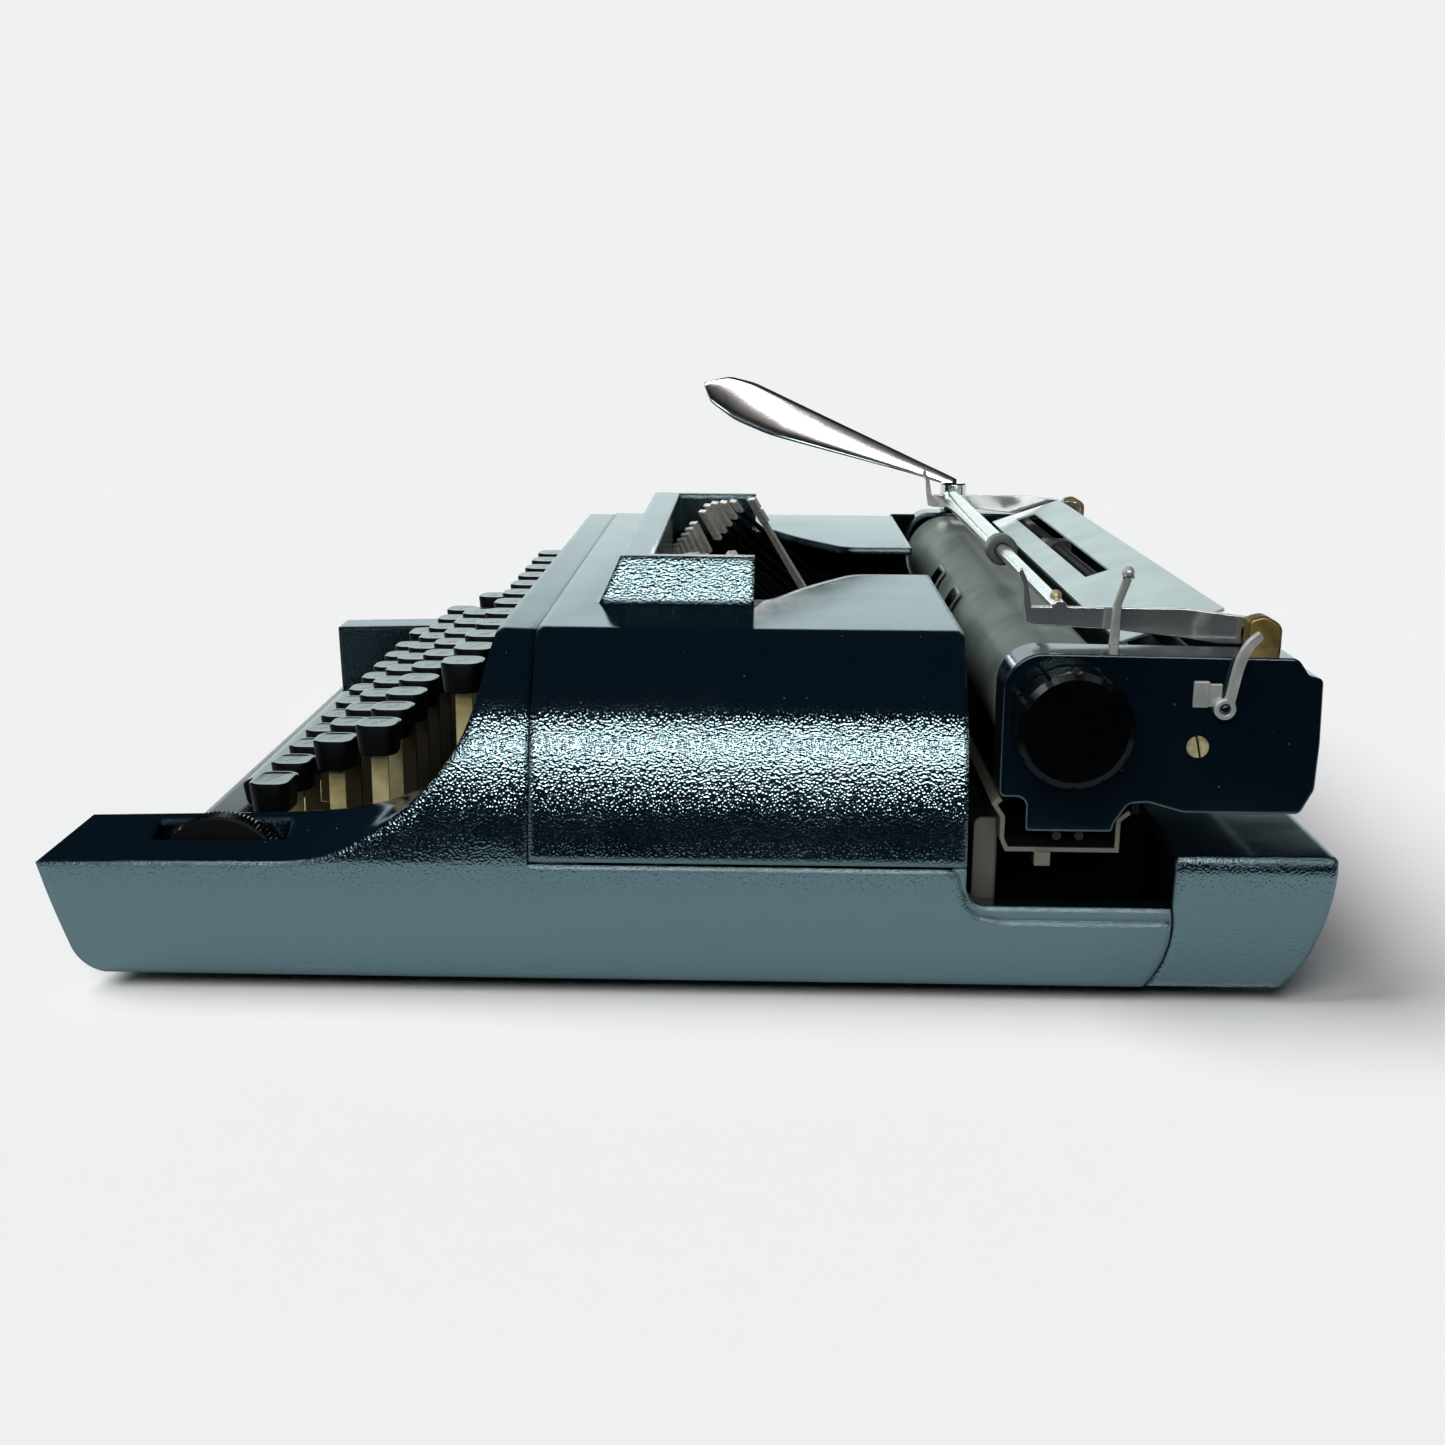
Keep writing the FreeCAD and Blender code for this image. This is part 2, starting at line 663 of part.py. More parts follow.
# Two spring fingers that follow the platen's curve at either side of the print point.
def make_card_guide():
    inner, outer = platen_r + 0.9, platen_r + 1.6
    ring = rod_x(16, 30, platen_y, platen_z, outer).cut(rod_x(10, 40, platen_y, platen_z, inner))
    return ring.common(plate_x([(70, 52), (platen_y - 8, 52), (platen_y - 13.5, 86), (70, 86)], 10, 40))


save("ribbon_vibrator", make_vibrator())
save("card_guides", *both_sides(make_card_guide()))


# Carriage
def make_end_cover():
    inner = end_face - end_depth
    end_corners = [(77, 53.6, 1.5), (77, 89.3, 9.5), (146.5, 88.6, 3), (149.3, 84.6, 1.5), (152.8, 83.6, 1.5),
                   (153.2, 68), (152.8, 56.3, 3), (149.7, 50.2, 2), (121.5, 50.2, 2), (113, 52.6, 2),
                   (108.4, 52.2, 2.5), (105.2, 47.2, 1), (104.8, 45.1, 0.8), (83.7, 45.1, 0.8),
                   (83.6, 53.6, 2.5)]
    face = Part.Face(outline(end_corners, yz(inner)))
    cover = face.extrude(V(end_depth, 0, 0))
    hollow = Part.Face(face.makeOffset2D(-end_wall).Wires[0]).extrude(V(end_depth - end_wall, 0, 0))
    cover = cover.cut(hollow)
    return cover.cut(rod_x(100, 200, platen_y, platen_z, platen_shaft_r + running))


# The right cover carries the pins of the two release levers, the left one the return lever's post.
def make_right_end_cover():
    wall_x = end_face - end_wall + 0.5
    paper_pin = rod_x(136.6, wall_x, paper_release_y, paper_release_z, release_pin_r)
    carriage_pin = rod_x(wall_x, end_face + 2.4, carriage_release_y, carriage_release_z, release_pin_r)
    return make_end_cover().fuse([paper_pin, carriage_pin])


save("right_end_cover", make_right_end_cover())
save("left_end_cover", mirrored(make_end_cover()).fuse(rod_z(lever_x, lever_y, 86, 99, lever_post_r)))


# A channel between the end covers, with a raised back and two guide rods held in its ends.
def make_carriage_frame():
    half = end_face - end_depth
    beam = [(87.5, 43.6), (104, 43.6), (104, 48.5), (87.5, 48.5)]
    under = [(89, 42), (102.5, 42), (102.5, 47), (89, 47)]
    back = [(102.5, 47.2), (104, 47.2), (113.4, 53.4), (113.4, 84), (111.9, 84), (111.9, 54.4), (102.5, 48.4)]
    channel = plate_x(beam, -half, half).cut(plate_x(under, -160, 160)).fuse(plate_x(back, -138.6, 138.6))
    rods = [rod_x(-150.5, 150.5, y, 43.4, 1.1) for y in (91.8, 97.3)]
    end_block = box(128, half, 88.5, 103, 42.8, 47.5)
    return channel.fuse(rods + both_sides(end_block)).removeSplitter()


# The tray behind the platen, closing the carriage's underside and back.
def make_carriage_back():
    half = end_face - end_depth
    path = [(116.2, 51), (149.3, 51), (151.8, 56.2), (151.8, 83)]
    return plate_x(bent_sheet(path, 1.2), -half, half)


save("carriage_frame", make_carriage_frame())
save("carriage_back", make_carriage_back())


def make_platen():
    tube = rod_x(-platen_half, platen_half, platen_y, platen_z, platen_r)
    return tube.cut(rod_x(-200, 200, platen_y, platen_z, platen_r - 2.5))


def make_platen_shaft():
    core = rod_x(-platen_half + 0.5, platen_half - 0.5, platen_y, platen_z, platen_r - 2.5)
    return core.fuse(rod_x(-knob_face + 3, knob_face - 3, platen_y, platen_z, platen_shaft_r))


def make_knob():
    profile = [(end_face + 0.5, 9), (end_face + 1.2, knob_r), (knob_face - 1.6, knob_r),
               (knob_face, knob_r - 1.8)]
    knob = turned_x(profile, platen_y, platen_z)
    return knob.cut(rod_x(100, knob_face - 3, platen_y, platen_z, platen_shaft_r))


def make_ratchet():
    teeth, tip, root, x_low, x_high = 24, 12.0, 10.4, -146.0, -142.5
    corners = []
    for index in range(teeth):
        for share, radius in ((0.0, tip), (0.25, root)):
            angle = 2 * math.pi * (index + share) / teeth
            corners.append((platen_y + radius * math.cos(angle), platen_z + radius * math.sin(angle)))
    return plate_x(corners, x_low, x_high).cut(rod_x(-200, 0, platen_y, platen_z, platen_shaft_r))


save("platen", make_platen())
save("platen_shaft", make_platen_shaft())
save("platen_knobs", *both_sides(make_knob()))
save("line_space_ratchet", make_ratchet())

roller_z = platen_z - platen_r - roller_r - 0.3


def make_feed_rollers():
    rollers = rod_x(-136, 136, roller_y, roller_z, roller_shaft_r)
    for middle in (-84, -28, 28, 84):
        rollers = rollers.fuse(rod_x(middle - 18, middle + 18, roller_y, roller_z, roller_r))
    return rollers


def make_roller_cradle(x):
    corners = [(88, 48.5), (96, 48.5), (94, 54.6, 1), (88, 54.6, 1)]
    return plate_x(corners, x, x + 1.5).cut(rod_x(-200, 200, roller_y, roller_z, roller_shaft_r + running))


save("feed_rollers", make_feed_rollers())
save("feed_roller_cradle", *[make_roller_cradle(x) for x in (-113, -57, -0.75, 55.5, 111.5)])


# Paper table, its margin rail and stops
def make_paper_table():
    path = [(112.6, 84), (112.6, 85), (110.2, 87.2), (135.2, 95.8)]
    table = plate_x(bent_sheet(path, 1.0), -table_half, table_half)
    return table.cut(box(-114, 35, 117, 124, 80, 110))


def make_margin_rail():
    half = end_face - end_depth
    return rod_x(-half, half, margin_y, margin_z, margin_r)


def make_margin_stop(x):
    corners = [(119, 80.5), (129, 80.5), (129, 88.6, 1.5), (119, 88.6, 1.5)]
    return plate_x(corners, x - 4, x + 4).cut(rod_x(-200, 200, margin_y, margin_z, margin_r + running))


save("paper_table", make_paper_table())
save("margin_rail", make_margin_rail())
save("margin_stop_left", make_margin_stop(-64))
save("margin_stop_right", make_margin_stop(64))

bail_roller_r = math.hypot(bail_rod_y - platen_y, bail_rod_z - platen_z) - platen_r - bail_stand


# Paper bail: two arms with finger tabs, a rod, and a thicker sleeve along the left part of the rod.
def make_paper_bail():
    side = [(86.3, 92.4), (84.6, 93), (83.8, 97.5), (83.4, 102.5), (81.9, 105.8), (83.1, 106.8),
            (84.8, 103.2), (85.9, 97.2), (124, 97), (133, 95.9), (144.5, 94.6, 2.5), (144.5, 88.2, 2.5),
            (132.7, 88.2), (123.9, 89.5), (106.2, 91.5)]
    arm = plate_x(side, bail_x_low, bail_x_high)
    arm = arm.cut(rod_x(100, 200, bail_pivot_y, bail_pivot_z, bail_pin_r + running))
    bail = rod_x(-bail_x_high, bail_x_high, bail_rod_y, bail_rod_z, bail_rod_r)
    sleeve = rod_x(-116, 19.5, bail_rod_y, bail_rod_z, bail_rod_r + 1.4)
    return bail.fuse(both_sides(arm) + [sleeve])


def make_bail_roller():
    roller = rod_x(19.8, 27, bail_rod_y, bail_rod_z, bail_roller_r)
    return roller.cut(rod_x(-200, 200, bail_rod_y, bail_rod_z, bail_rod_r + running))


def make_bail_bracket():
    side = [(138, 84), (146.4, 84), (146.4, 94, 3), (142, 96.5, 3), (138, 95.5, 2)]
    bracket = plate_x(side, bail_x_high + 0.6, end_face - end_depth)
    return bracket.fuse(rod_x(bail_x_low - 0.8, 136, bail_pivot_y, bail_pivot_z, bail_pin_r))


save("paper_bail", make_paper_bail())
save("bail_roller", make_bail_roller())
save("bail_brackets", *both_sides(make_bail_bracket()))


# Return lever: a long blade with a curved lower edge, standing on a post at the left end.
def make_return_lever():
    low, high = -152.0, -149.8
    upper = [V(low, y, z) for y, z in ((101, 97.5), (100, 100.2), (10.4, 141.6))]
    lower = [V(low, y, z) for y, z in ((10.4, 141.6), (2, 141.5), (-4.5, 139.4), (-4.0, 134.5), (7.3, 124.4),
                                       (25.1, 117.5), (48.4, 111.5), (69.8, 106.1), (90, 101.5))]
    edges = [line(a, b) for a, b in zip(upper, upper[1:])] + [spline(lower)]
    edges += [line(lower[-1], V(low, 92, 97.5)), line(V(low, 92, 97.5), upper[0])]
    blade = Part.Face(Part.Wire(edges)).extrude(V(high - low, 0, 0))
    hub = rod_z(lever_x, lever_y, 89.4, 100.5, 5.2).fuse(box(low, lever_x, 92, 101, 94, 100.2))
    lever = blade.fuse(hub)
    return lever.cut(rod_z(lever_x, lever_y, 80, 99.5, lever_post_r + running))


save("return_lever", make_return_lever())


# Small levers at the carriage's right end
def make_paper_release():
    corners = [(103.8, 78), (106.8, 78), (107.0, 98.6), (109.4, 105.6), (107.4, 106.6), (105.0, 99)]
    low, high = 136.9, 138.3
    blade = plate_x(corners, low, high).fuse(rod_x(low, high, paper_release_y, paper_release_z, 2.4))
    blade = blade.fuse(Part.makeSphere(1.5, V(137.6, 108.2, 106.6)))
    return blade.cut(rod_x(0, 200, paper_release_y, paper_release_z, release_pin_r + running))


def make_carriage_release():
    low, high = end_face + 0.4, end_face + 2.0
    outer = [V(low, y, z) for y, z in ((128.2, 75.2), (130.2, 84), (132.2, 91), (136.2, 95.4))]
    inner = [V(low, y, z) for y, z in ((137.4, 93.6), (134.6, 90), (132.6, 83), (130.8, 75.2))]
    edges = [spline(outer), line(outer[-1], inner[0]), spline(inner), line(inner[-1], outer[0])]
    blade = Part.Face(Part.Wire(edges)).extrude(V(high - low, 0, 0))
    blade = blade.fuse(rod_x(low, high, carriage_release_y, carriage_release_z, 2.6))
    return blade.cut(rod_x(0, 200, carriage_release_y, carriage_release_z, release_pin_r + running))


save("paper_release_lever", make_paper_release())
save("carriage_release_lever", make_carriage_release())

# Escapement, mainspring and bell
rack_low = wheel_z + wheel_r + 0.3


def make_escapement_wheel():
    bore = rod_y(0, 0, 200, wheel_z, wheel_pin_r + running)
    return rod_y(0, wheel_y, wheel_y + 1.6, wheel_z, wheel_r).cut(bore)


def make_escapement_bracket():
    corners = [(-12, 6.9), (12, 6.9), (12, 40, 6), (-12, 40, 6)]
    return plate_y(corners, 117, 118.5).fuse(rod_y(0, wheel_y - 0.6, 117, wheel_z, wheel_pin_r))


def make_mainspring_drum():
    drum = rod_z(drum_x, drum_y, 12, 24, drum_r)
    return drum.cut(rod_z(drum_x, drum_y, 0, 100, drum_pin_r + running))


def make_bell():
    dome = Part.makeSphere(13, V(80, 138, 12)).cut(Part.makeSphere(11.5, V(80, 138, 12)))
    dome = dome.common(box(60, 100, 120, 158, 12, 30))
    return dome.fuse(rod_z(80, 138, 6.9, 24, 2))


save("escapement_rack", box(-134, 134, 113.4, 115.2, rack_low, rack_low + 10))
save("escapement_wheel", make_escapement_wheel())
save("escapement_bracket", make_escapement_bracket())
save("mainspring_drum", make_mainspring_drum())
save("bell", make_bell())


# Thumbwheel in the right cheek, on a pin that a plate on the cheek's inner wall carries
def make_thumbwheel():
    wheel = rod_x(thumb_x_low, thumb_x_high, thumb_y, thumb_z, thumb_r)
    return wheel.cut(rod_x(0, 200, thumb_y, thumb_z, thumb_pin_r + running))


def make_thumb_bracket():
    inner_wall = cheek_inner_half + wall
    plate = box(inner_wall, inner_wall + 1, thumb_y - 6, thumb_y + 6, thumb_z - 8, thumb_z + 8)
    return plate.fuse(rod_x(inner_wall, thumb_x_high - 0.4, thumb_y, thumb_z, thumb_pin_r))


save("thumbwheel", make_thumbwheel())
save("thumbwheel_bracket", make_thumb_bracket())
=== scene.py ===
import json
from math import cos, pi, radians, sin

import bmesh
import bpy
from mathutils import Matrix, Vector


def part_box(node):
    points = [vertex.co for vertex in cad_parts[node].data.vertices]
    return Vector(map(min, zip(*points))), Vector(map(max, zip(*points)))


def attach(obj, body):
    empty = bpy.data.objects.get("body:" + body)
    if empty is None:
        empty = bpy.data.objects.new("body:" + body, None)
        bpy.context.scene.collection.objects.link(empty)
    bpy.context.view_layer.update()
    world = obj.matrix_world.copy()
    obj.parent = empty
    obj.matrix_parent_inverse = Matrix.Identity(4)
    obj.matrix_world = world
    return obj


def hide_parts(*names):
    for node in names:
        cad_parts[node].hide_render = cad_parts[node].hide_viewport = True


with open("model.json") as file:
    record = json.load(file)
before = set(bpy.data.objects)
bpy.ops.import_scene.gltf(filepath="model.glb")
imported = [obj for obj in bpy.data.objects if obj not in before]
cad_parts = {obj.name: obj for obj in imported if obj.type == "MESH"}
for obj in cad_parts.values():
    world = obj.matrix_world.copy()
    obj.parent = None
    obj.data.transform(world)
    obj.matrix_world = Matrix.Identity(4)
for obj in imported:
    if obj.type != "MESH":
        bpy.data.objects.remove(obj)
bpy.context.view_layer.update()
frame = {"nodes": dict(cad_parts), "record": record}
bodies = frame["record"]["behaviour"]["bodies"]
bodyOf = {node: body for body, nodes in bodies.items() for node in nodes}
slotOf = {part["node"]: part["material_slot"] for part in frame["record"]["subparts"]}
mm = 0.001


def addObject(name, data):
    made = bpy.data.objects.new(name, data)
    bpy.context.scene.collection.objects.link(made)
    return made


def takeMesh(bm, name):
    mesh = bpy.data.meshes.new(name)
    bm.to_mesh(mesh)
    bm.free()
    return mesh


def centre(node):
    low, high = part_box(node)
    return (Vector(low) + Vector(high)) / 2


def colour(code):
    channels = [int(code[i:i + 2], 16) / 255 for i in (1, 3, 5)]
    return tuple(c / 12.92 if c <= 0.04045 else ((c + 0.055) / 1.055) ** 2.4 for c in channels) + (1,)


def addNode(tree, kind, inputs=None, **settings):
    node = tree.nodes.new(kind)
    for name, value in settings.items():
        setattr(node, name, value)
    for socket, value in (inputs or {}).items():
        if isinstance(value, bpy.types.NodeSocket):
            tree.links.new(value, node.inputs[socket])
        else:
            node.inputs[socket].default_value = value
    return node


def newMaterial(name, **sockets):
    material = bpy.data.materials.new(name)
    material.use_nodes = True
    tree = material.node_tree
    shader = tree.nodes["Principled BSDF"]
    for socket, value in sockets.items():
        shader.inputs[socket.replace("_", " ")].default_value = value
    return material, tree, shader


# Camera, fitted to the photograph
camera = {"place": (0.56731, 0.01782, 0.16947), "pitch": radians(13.31), "yaw": radians(1.1),
          "roll": radians(0.43), "lens": 44.082, "nearest": 0.01}
pitch, yaw, roll = camera["pitch"], camera["yaw"], camera["roll"]
forward = Vector((-cos(pitch) * cos(yaw), -cos(pitch) * sin(yaw), -sin(pitch)))
level = forward.cross(Vector((0, 0, 1))).normalized()
upward = level.cross(forward)
right = cos(roll) * level + sin(roll) * upward
up = cos(roll) * upward - sin(roll) * level
viewer = addObject("camera", bpy.data.cameras.new("camera"))
viewer.data.lens = camera["lens"]
viewer.data.clip_start = camera["nearest"]
turn = Matrix((right, up, -forward)).transposed().to_4x4()
viewer.matrix_world = Matrix.Translation(camera["place"]) @ turn
bpy.context.scene.camera = viewer
print("camera set")

# Studio: a pale table top, a low pale wall on the far side, and a dark room with one strip light.
# wallTop and wallEnd are the Z and the X of the directions between which the wall fades out.
studio = {"paper": "#efefef", "beyond": "#f0f0f0", "paleEdge": 0.275, "reach": 20.0,
          "room": "#0b141d", "farSide": "#e2eded", "farLevel": 1.35,
          "wallTop": (0.266, 0.286), "wallEnd": (-0.6, -0.3),
          "sun": 2.68, "sunFrom": (-0.05, -0.62, 0.85), "fill": 1.3, "fillFrom": (0.7, -0.25, 0.75),
          "sunAngle": radians(40), "stripWatts": 18.5, "stripColour": "#ffede9",
          "stripPlace": (1.5, 0.06, 0.69), "stripAim": (0.14, 0.02, 0.06),
          "stripLong": 1.5, "stripWide": 0.2}
bm = bmesh.new()
bmesh.ops.create_grid(bm, x_segments=1, y_segments=1, size=studio["reach"])
floor = addObject("floor", takeMesh(bm, "floor"))
# Matt paper: pale for the camera, and dark to reflections beyond its front edge
paper, tree, shader = newMaterial("matt paper", Roughness=0.9, Specular_IOR_Level=0.0)
place = addNode(tree, "ShaderNodeTexCoord")
axes = addNode(tree, "ShaderNodeSeparateXYZ", {"Vector": place.outputs["Object"]})
near = addNode(tree, "ShaderNodeMath", {0: axes.outputs["X"], 1: studio["paleEdge"]}, operation="LESS_THAN")
seen = addNode(tree, "ShaderNodeLightPath")
shown = addNode(tree, "ShaderNodeMath", {0: near.outputs["Value"], 1: seen.outputs["Is Camera Ray"]},
                operation="MAXIMUM")
tone = addNode(tree, "ShaderNodeMix", {"Factor": shown.outputs["Value"], "A": colour(studio["room"]),
                                       "B": colour(studio["paper"])}, data_type="RGBA")
tree.links.new(tone.outputs["Result"], shader.inputs["Base Color"])
floor.data.materials.append(paper)

world = bpy.data.worlds.new("studio")
bpy.context.scene.world = world
world.use_nodes = True
sky = world.node_tree
wallTone = [c * studio["farLevel"] for c in colour(studio["farSide"])[:3]] + [1]
direction = addNode(sky, "ShaderNodeTexCoord")
axes = addNode(sky, "ShaderNodeSeparateXYZ", {"Vector": direction.outputs["Generated"]})
low = addNode(sky, "ShaderNodeMapRange", {"Value": axes.outputs["Z"], "From Min": studio["wallTop"][1],
                                          "From Max": studio["wallTop"][0]})
far = addNode(sky, "ShaderNodeMapRange", {"Value": axes.outputs["X"], "From Min": studio["wallEnd"][1],
                                          "From Max": studio["wallEnd"][0]})
wall = addNode(sky, "ShaderNodeMath", {0: low.outputs["Result"], 1: far.outputs["Result"]},
               operation="MULTIPLY")
light = addNode(sky, "ShaderNodeMix", {"Factor": wall.outputs["Value"], "A": colour(studio["room"]),
                                       "B": wallTone}, data_type="RGBA")
seen = addNode(sky, "ShaderNodeLightPath")
backdrop = addNode(sky, "ShaderNodeMix", {
    "Factor": seen.outputs["Is Camera Ray"], "A": light.outputs["Result"],
    "B": colour(studio["beyond"])}, data_type="RGBA")
sky.links.new(backdrop.outputs["Result"], sky.nodes["Background"].inputs["Color"])
bpy.context.scene.view_settings.view_transform = "Standard"

for name in ("sun", "fill"):
    lamp = addObject(name, bpy.data.lights.new(name, "SUN"))
    lamp.data.energy = studio[name]
    lamp.data.angle = studio["sunAngle"]
    lamp.visible_glossy = False
    lamp.rotation_euler = Vector(studio[name + "From"]).to_track_quat("Z", "Y").to_euler()

strip = addObject("strip", bpy.data.lights.new("strip", "AREA"))
strip.data.shape = "RECTANGLE"
strip.data.size = studio["stripLong"]
strip.data.size_y = studio["stripWide"]
strip.data.energy = studio["stripWatts"]
strip.data.color = colour(studio["stripColour"])[:3]
strip.visible_diffuse = False
strip.location = studio["stripPlace"]
strip.rotation_euler = (strip.location - Vector(studio["stripAim"])).to_track_quat("Z", "Y").to_euler()
print("studio set")

# Enamel: blue-black and glossy, with faint dust; the thick coat softens edges, and its crinkled grain
# breaks highlights into sparks on all but the level faces
coating = {"paint": "#07121b", "tint": (0.55, 0.9, 1.0, 1), "crinkle": 0.65 * mm, "blur": 0.35,
           "level": 0.9, "steep": 0.6, "levelGrain": 0.06, "bevelSamples": 6,
           "smudge": 22 * mm, "smudgeDetail": 5.0, "smudgeEdges": (0.3, 0.7), "gloss": (0.07, 0.14),
           "dust": "#8fa3a8", "dustPitch": 5 * mm, "dustEdges": (0.05, 0.02), "dustShare": 0.5,
           "wellHalf": 138.2 * mm, "wellBack": -52 * mm, "wellShadeIndex": 1.4}


def makeEnamel(name, depth, soft, index):
    material, tree, shader = newMaterial(name, IOR=index, Specular_Tint=coating["tint"])
    place = addNode(tree, "ShaderNodeTexCoord")
    cells = addNode(tree, "ShaderNodeTexVoronoi", {
        "Vector": place.outputs["Object"], "Scale": 1 / coating["crinkle"],
        "Smoothness": coating["blur"]}, feature="SMOOTH_F1")
    face = addNode(tree, "ShaderNodeNewGeometry")
    facing = addNode(tree, "ShaderNodeSeparateXYZ", {"Vector": face.outputs["Normal"]})
    grain = addNode(tree, "ShaderNodeMapRange", {
        "Value": facing.outputs["Z"], "From Min": coating["level"], "From Max": coating["steep"],
        "To Min": coating["levelGrain"]})
    coat = addNode(tree, "ShaderNodeBevel", {"Radius": soft}, samples=coating["bevelSamples"])
    bump = addNode(tree, "ShaderNodeBump", {
        "Height": cells.outputs["Distance"], "Distance": depth, "Strength": grain.outputs["Result"],
        "Normal": coat.outputs["Normal"]})
    tree.links.new(bump.outputs["Normal"], shader.inputs["Normal"])
    smudge = addNode(tree, "ShaderNodeTexNoise", {
        "Vector": place.outputs["Object"], "Scale": 1 / coating["smudge"],
        "Detail": coating["smudgeDetail"]})
    gloss = addNode(tree, "ShaderNodeMapRange", {
        "Value": smudge.outputs["Fac"],
        "From Min": coating["smudgeEdges"][0], "From Max": coating["smudgeEdges"][1],
        "To Min": coating["gloss"][0], "To Max": coating["gloss"][1]})
    tree.links.new(gloss.outputs["Result"], shader.inputs["Roughness"])
    dust = addNode(tree, "ShaderNodeTexVoronoi", {"Vector": place.outputs["Object"],
                                                  "Scale": 1 / coating["dustPitch"]})
    speck = addNode(tree, "ShaderNodeMapRange", {
        "Value": dust.outputs["Distance"], "To Max": coating["dustShare"],
        "From Min": coating["dustEdges"][0], "From Max": coating["dustEdges"][1]})
    tone = addNode(tree, "ShaderNodeMix", {"Factor": speck.outputs["Result"], "A": colour(coating["paint"]),
                                           "B": colour(coating["dust"])}, data_type="RGBA")
    tree.links.new(tone.outputs["Result"], shader.inputs["Base Color"])
    return material, tree, shader, place


smoothEnamel = makeEnamel("smooth black enamel", depth=0.02 * mm, soft=0.6 * mm, index=2.0)[0]
# On the casing the walls of the key well get a lower IOR than the faces outside it and reflect less: painted
# shade in the well
enamel, tree, shader, place = makeEnamel("black enamel", depth=0.105 * mm, soft=2.4 * mm, index=2.6)
axes = addNode(tree, "ShaderNodeSeparateXYZ", {"Vector": place.outputs["Object"]})
away = addNode(tree, "ShaderNodeMath", {0: axes.outputs["X"]}, operation="ABSOLUTE")
outside = addNode(tree, "ShaderNodeMath", {0: away.outputs["Value"], 1: coating["wellHalf"]},
                  operation="GREATER_THAN")
behind = addNode(tree, "ShaderNodeMath", {0: axes.outputs["Y"], 1: coating["wellBack"]},
                 operation="GREATER_THAN")
exposed = addNode(tree, "ShaderNodeMath", {0: outside.outputs["Value"], 1: behind.outputs["Value"]},
                  operation="MAXIMUM")
# The lower IOR on the key well's walls darkens them: painted shade
shine = addNode(tree, "ShaderNodeMapRange", {
    "Value": exposed.outputs["Value"], "To Min": coating["wellShadeIndex"],
    "To Max": shader.inputs["IOR"].default_value})
tree.links.new(shine.outputs["Result"], shader.inputs["IOR"])


def grainBump(tree, shader, size, depth):
    place = addNode(tree, "ShaderNodeTexCoord")
    noise = addNode(tree, "ShaderNodeTexNoise", {"Vector": place.outputs["Object"], "Scale": 1 / size})
    bump = addNode(tree, "ShaderNodeBump", {"Height": noise.outputs["Fac"], "Distance": depth})
    tree.links.new(bump.outputs["Normal"], shader.inputs["Normal"])
    return place, noise


# Moulded key plastic: black, matt on the sides and finger-polished on the tops, with painted sheen on the
# tops and painted shade on the sides
moulded = {"tone": "#04060a", "tint": (0.8, 0.97, 1.0, 1), "grain": 0.8 * mm, "grainDepth": 0.001 * mm,
           "smudge": 5 * mm, "smudgeDetail": 4.0, "smudgeEdges": (0.3, 0.7), "topGloss": (0.05, 0.11),
           "side": 0.55, "top": 0.9, "sideRough": 0.5, "sideShadeIndex": 1.2, "topSheenIndex": 3.0}
plastic, tree, shader = newMaterial("black plastic", Base_Color=colour(moulded["tone"]),
                                    Specular_Tint=moulded["tint"])
place = grainBump(tree, shader, moulded["grain"], moulded["grainDepth"])[0]
smudge = addNode(tree, "ShaderNodeTexNoise", {
    "Vector": place.outputs["Object"], "Scale": 1 / moulded["smudge"], "Detail": moulded["smudgeDetail"]})
gloss = addNode(tree, "ShaderNodeMapRange", {
    "Value": smudge.outputs["Fac"],
    "From Min": moulded["smudgeEdges"][0], "From Max": moulded["smudgeEdges"][1],
    "To Min": moulded["topGloss"][0], "To Max": moulded["topGloss"][1]})
face = addNode(tree, "ShaderNodeNewGeometry")
facing = addNode(tree, "ShaderNodeSeparateXYZ", {"Vector": face.outputs["Normal"]})
top = addNode(tree, "ShaderNodeMapRange", {"Value": facing.outputs["Z"], "From Min": moulded["side"],
                                           "From Max": moulded["top"]})
worn = addNode(tree, "ShaderNodeMix", {"Factor": top.outputs["Result"], "A": moulded["sideRough"],
                                       "B": gloss.outputs["Result"]})
tree.links.new(worn.outputs["Result"], shader.inputs["Roughness"])
# A higher IOR on the tops is a painted sheen, a lower one on the sides painted shade
shine = addNode(tree, "ShaderNodeMapRange", {"Value": top.outputs["Result"], "To Min": moulded["sideShadeIndex"],
                                             "To Max": moulded["topSheenIndex"]})
tree.links.new(shine.outputs["Result"], shader.inputs["IOR"])

# Two tones in patches over a fine grain, for finishes that are stained or rubbed
staining = {"grain": 0.5 * mm, "depth": 0.006 * mm, "detail": 6.0, "edges": (0.35, 0.65),
            "wear": (0.8, 1.2)}


def stained(name, light, dark, patch, grain=staining["grain"], depth=staining["depth"], **sockets):
    material, tree, shader = newMaterial(name, **sockets)
    place, noise = grainBump(tree, shader, grain, depth)
    patches = addNode(tree, "ShaderNodeTexNoise", {"Vector": place.outputs["Object"], "Scale": 1 / patch,
                                                   "Detail": staining["detail"]})
    share = addNode(tree, "ShaderNodeMapRange", {
        "Value": patches.outputs["Fac"], "From Min": staining["edges"][0], "From Max": staining["edges"][1]})
    tone = addNode(tree, "ShaderNodeMix", {"Factor": share.outputs["Result"], "A": colour(light),
                                           "B": colour(dark)}, data_type="RGBA")
    tree.links.new(tone.outputs["Result"], shader.inputs["Base Color"])
    rough = shader.inputs["Roughness"].default_value
    worn = addNode(tree, "ShaderNodeMapRange", {
        "Value": noise.outputs["Fac"], "To Min": rough * staining["wear"][0],
        "To Max": rough * staining["wear"][1]})
    tree.links.new(worn.outputs["Result"], shader.inputs["Roughness"])
    return material


# Bare sheet steel, a little dull and stained
steel = stained("sheet steel", "#8c9696", "#6d7673", patch=9 * mm, Metallic=1.0, Roughness=0.38)
